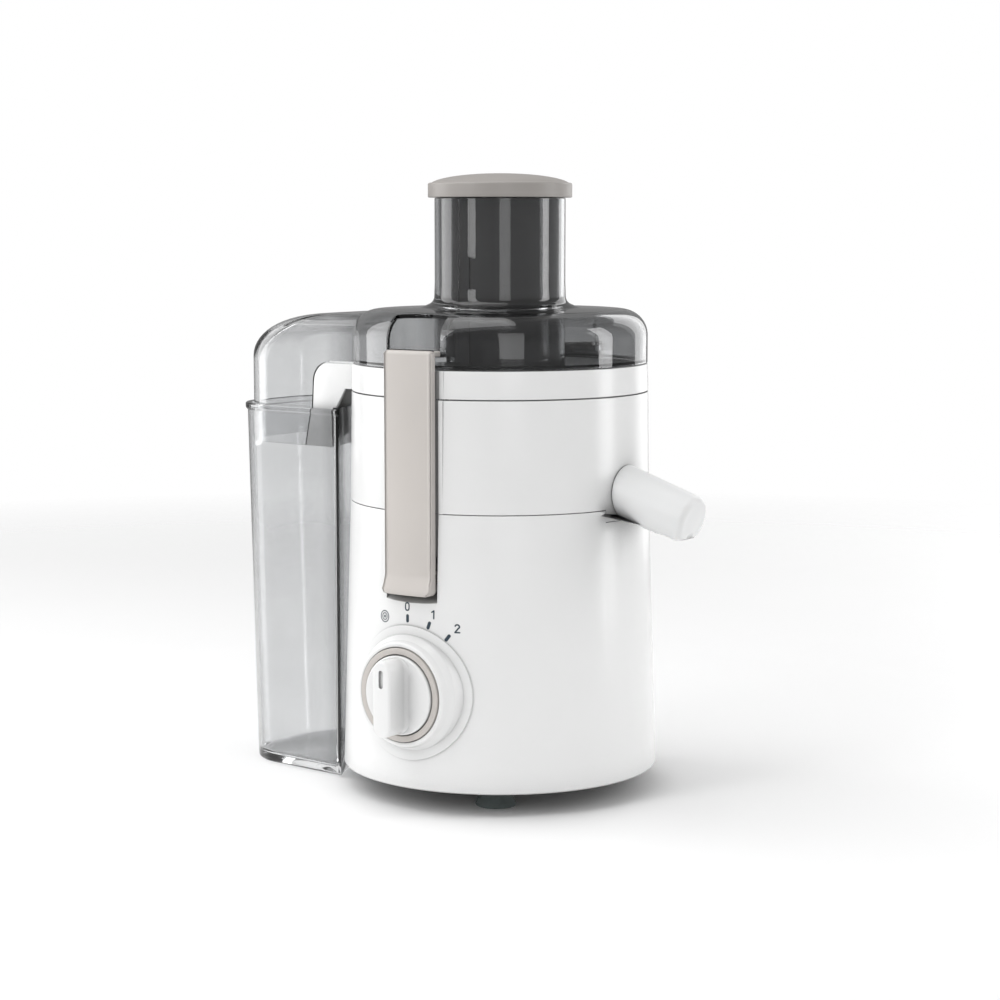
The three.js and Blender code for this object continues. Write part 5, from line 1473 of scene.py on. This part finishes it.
@dataclass
class Strainer:
    """The spinning strainer: sieve basket, rim, hub and toothed disc."""

    shop: Workshop
    rows: int = 14
    columns: int = 120
    floor_r: float = 44.2
    sheet: float = 0.5
    disc_r: float = 42.5
    tooth_rise: float = 2.0

    def sieve(self) -> Solid:
        """The basket's wall, pierced all over."""
        at = self.shop.layout
        low, top = at.basket_low, at.collar + 8.7
        r, bend = at.body_r - STRAINER_IN - self.sheet, top - 3.7
        wall = [(self.floor_r + (r - self.floor_r) * k / self.rows, low + (bend - low) * k / self.rows)
                for k in range(self.rows + 1)]
        bm = turned([*wall, (r, top)], self.columns).mesh
        holes = [face for face in bm.faces if low + 3 < face.calc_center_median().z < bend]
        bmesh.ops.inset_individual(bm, faces=holes, thickness=0.42, depth=0.0)
        bmesh.ops.delete(bm, geom=holes, context="FACES")
        bmesh.ops.recalc_face_normals(bm, faces=bm.faces[:])
        bmesh.ops.solidify(bm, geom=bm.faces[:], thickness=self.sheet)
        return Solid(bm)

    def disc(self) -> Solid:
        """The grating disc with three rings of small teeth."""
        at = self.shop.layout
        low = at.bowl + 28.3
        foot = low + 1.2
        tip = low + 1.4 + self.tooth_rise
        plate = cylinder(self.disc_r, low, low + 1.4, MID_TURN)
        for row in range(1, 4):
            count = 4 + 6 * row
            for i in range(count):
                tooth = turned([(0, foot), (1.3, foot), (0.1, tip), (0, tip)], 6)
                tooth = tooth.moved(11 * row + 2).spun(360 * (i + row / 3) / count)
                for face in tooth.mesh.faces:
                    face.smooth = False
                made = bpy.data.meshes.new("tooth")
                tooth.mesh.to_mesh(made)
                plate.mesh.from_mesh(made)
                bpy.data.meshes.remove(made)
        return plate

    def build(self) -> None:
        """Makes the strainer's pieces."""
        at = self.shop.layout
        self.shop.piece("sieve_wall", self.sieve(), Slot.STEEL, Body.DRIVE, ("strainer_basket",))
        self.shop.piece("toothed_disc", self.disc(), Slot.STEEL, Body.DRIVE, ("grating_disc",))
        r, top = at.body_r - STRAINER_IN, at.collar + 9
        inner, outer = r - 2, r + 10
        rim = ring(rounded([
            (r + 0.3, top - 4), (r + 2, top - 4), (r + 3, top - 0.5, 0.6), (outer, top + 0.5, 0.4),
            (outer, top + 2.5, 0.6), (inner, top + 2.5, 0.6), (inner, top), (r + 0.3, top)]))
        self.shop.piece("strainer_hoop", rim, Slot.DARK, Body.DRIVE, ("strainer_rim",))
        self.shop.dress(Slot.DARK, "strainer_hub", "drive_coupling")


@dataclass
class Motor:
    """The motor and the other pieces inside the base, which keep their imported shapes."""

    shop: Workshop
    finishes: dict[Slot, tuple[str, ...]] = field(default_factory=lambda: {
        Slot.IRON: ("stator_core", "upper_bracket", "lower_bracket", "armature"),
        Slot.COPPER: ("field_coil_right", "field_coil_left", "commutator"),
        Slot.STEEL: ("upper_bearing", "lower_bearing", "motor_shaft", "interlock_spring"),
        Slot.BRASS: ("brush_holder_front", "brush_holder_back"),
        Slot.BLACK: ("cooling_fan", "carbon_brush_front", "carbon_brush_back", "speed_switch",
                     "interlock_switch"),
        Slot.RUBBER: tuple(f"motor_mount_{i}" for i in range(1, 5)),
        Slot.WARM: ("interlock_pin",),
        Slot.BOARD: ("filter_board",),
    })

    def build(self) -> None:
        """Dresses the motor's nodes."""
        for slot, nodes in self.finishes.items():
            self.shop.dress(slot, *nodes)


# ---------------------------------------------------------------- studio


@dataclass(frozen=True)
class SoftLight:
    """A large soft lamp aimed at the object."""

    name: str
    place: tuple[float, float, float]
    size: Point
    power: float

    def build(self, aim: Vector) -> None:
        """Puts the lamp in place."""
        lamp = bpy.data.lights.new(self.name, "AREA")
        lamp.shape = "RECTANGLE"
        lamp.size, lamp.size_y = self.size
        lamp.energy = self.power
        obj = bpy.data.objects.new(self.name, lamp)
        obj.location = self.place
        obj.rotation_euler = (aim - obj.location).to_track_quat("-Z", "Y").to_euler()
        bpy.context.scene.collection.objects.link(obj)


@dataclass
class Studio:
    """Floor, backdrop, lamps and camera."""

    layout: Layout
    floor_r: float = 2.4
    aim: tuple[float, float, float] = (0, 0, 0.18)
    eye: tuple[float, float, float] = (769.2, -1119.2, 332.1)
    pitch: float = 6.87
    lens: float = 83.2
    lamps: tuple[SoftLight, ...] = (
        SoftLight("left_panel", (-1.25, -0.35, 0.6), (0.75, 1.2), 7.0),
        SoftLight("key_panel", (-0.35, -1.3, 0.8), (0.4, 1.0), 5.0),
        SoftLight("back_panel", (0.1, 1.35, 0.55), (0.8, 1.2), 5.0),
        SoftLight("front_panel", (1.2, -1.25, 0.7), (0.6, 1.2), 3.7),
        SoftLight("right_panel", (1.15, 0.7, 0.5), (0.35, 1.2), 6.2),
        SoftLight("top_panel", (-0.3, -0.3, 1.4), (1.2, 1.2), 10.0),
    )

    def floor(self) -> None:
        """A pale round floor."""
        bm = bmesh.new()
        bmesh.ops.create_circle(bm, cap_ends=True, radius=self.floor_r, segments=96)
        mesh = bpy.data.meshes.new("studio_floor")
        bm.to_mesh(mesh)
        bm.free()
        mesh.materials.append(PaleFloor().build())
        obj = bpy.data.objects.new("studio_floor", mesh)
        bpy.context.scene.collection.objects.link(obj)

    def backdrop(self) -> None:
        """The surround: white to the eye and through clear walls near the horizon, dimmer as a light."""
        world = bpy.data.worlds.new("studio")
        world.use_nodes = True
        tree = world.node_tree
        tree.nodes.clear()

        def add(kind: str, **numbers: float | tuple) -> Node:
            """A node with numbers on its sockets; underscores stand for spaces."""
            made = tree.nodes.new("ShaderNode" + kind)
            for name, value in numbers.items():
                made.inputs[name.replace("_", " ")].default_value = value
            return made

        coords, split, path = add("TexCoord"), add("SeparateXYZ"), add("LightPath")
        height = add("MapRange", From_Min=-0.1, From_Max=0.9, To_Min=0.34, To_Max=0.5)
        behind = add("MapRange", From_Min=0.08, From_Max=0.4, To_Min=1.0, To_Max=0.0)
        ambient = add("Background")
        seen = add("Background", Color=(1, 1, 1, 1), Strength=1.0)
        through = add("Math")
        through.operation = "MULTIPLY_ADD"
        mix, out = add("MixShader"), add("OutputWorld")
        for source, target in (
            (coords.outputs["Generated"], split.inputs[0]),
            (split.outputs["Z"], height.inputs["Value"]),
            (height.outputs["Result"], ambient.inputs["Strength"]),
            (split.outputs["Z"], behind.inputs["Value"]),
            (path.outputs["Is Transmission Ray"], through.inputs[0]),
            (behind.outputs["Result"], through.inputs[1]),
            (path.outputs["Is Camera Ray"], through.inputs[2]),
            (through.outputs[0], mix.inputs[0]),
            (ambient.outputs[0], mix.inputs[1]),
            (seen.outputs[0], mix.inputs[2]),
            (mix.outputs[0], out.inputs["Surface"]),
        ):
            tree.links.new(source, target)
        bpy.context.scene.world = world

    def camera(self) -> None:
        """The camera at the front right, looking slightly down."""
        data = bpy.data.cameras.new("camera")
        data.lens = self.lens
        data.clip_end = 20.0
        obj = bpy.data.objects.new("camera", data)
        eye = Vector(self.eye)
        obj.location = self.layout.matrix() @ eye
        level = Vector((-eye.x, -eye.y, 0)).normalized()
        angle = math.radians(self.pitch)
        look = level * math.cos(angle) + Vector((0, 0, -math.sin(angle)))
        obj.rotation_euler = look.to_track_quat("-Z", "Y").to_euler()
        bpy.context.scene.collection.objects.link(obj)
        bpy.context.scene.camera = obj

    def build(self) -> None:
        """Sets up the studio."""
        scene = bpy.context.scene
        scene.view_settings.view_transform = "Standard"
        scene.view_settings.look = "None"
        self.floor()
        self.backdrop()
        for lamp in self.lamps:
            lamp.build(Vector(self.aim))
        self.camera()
        log.info("studio ready")


def main() -> None:
    """Builds the juicer and its studio, in order."""
    layout = read_layout()
    shop = Workshop(layout, Finishes())
    Studio(layout).build()
    base = Base(shop)
    base.build()
    Knob(shop).build()
    tank = Tank(shop)
    Bowl(shop, base).build(tank)
    tank.build()
    Lid(shop, tank).build()
    Pusher(shop).build()
    Clamps(shop).build()
    Strainer(shop).build()
    Motor(shop).build()


if __name__ == "__main__":
    main()
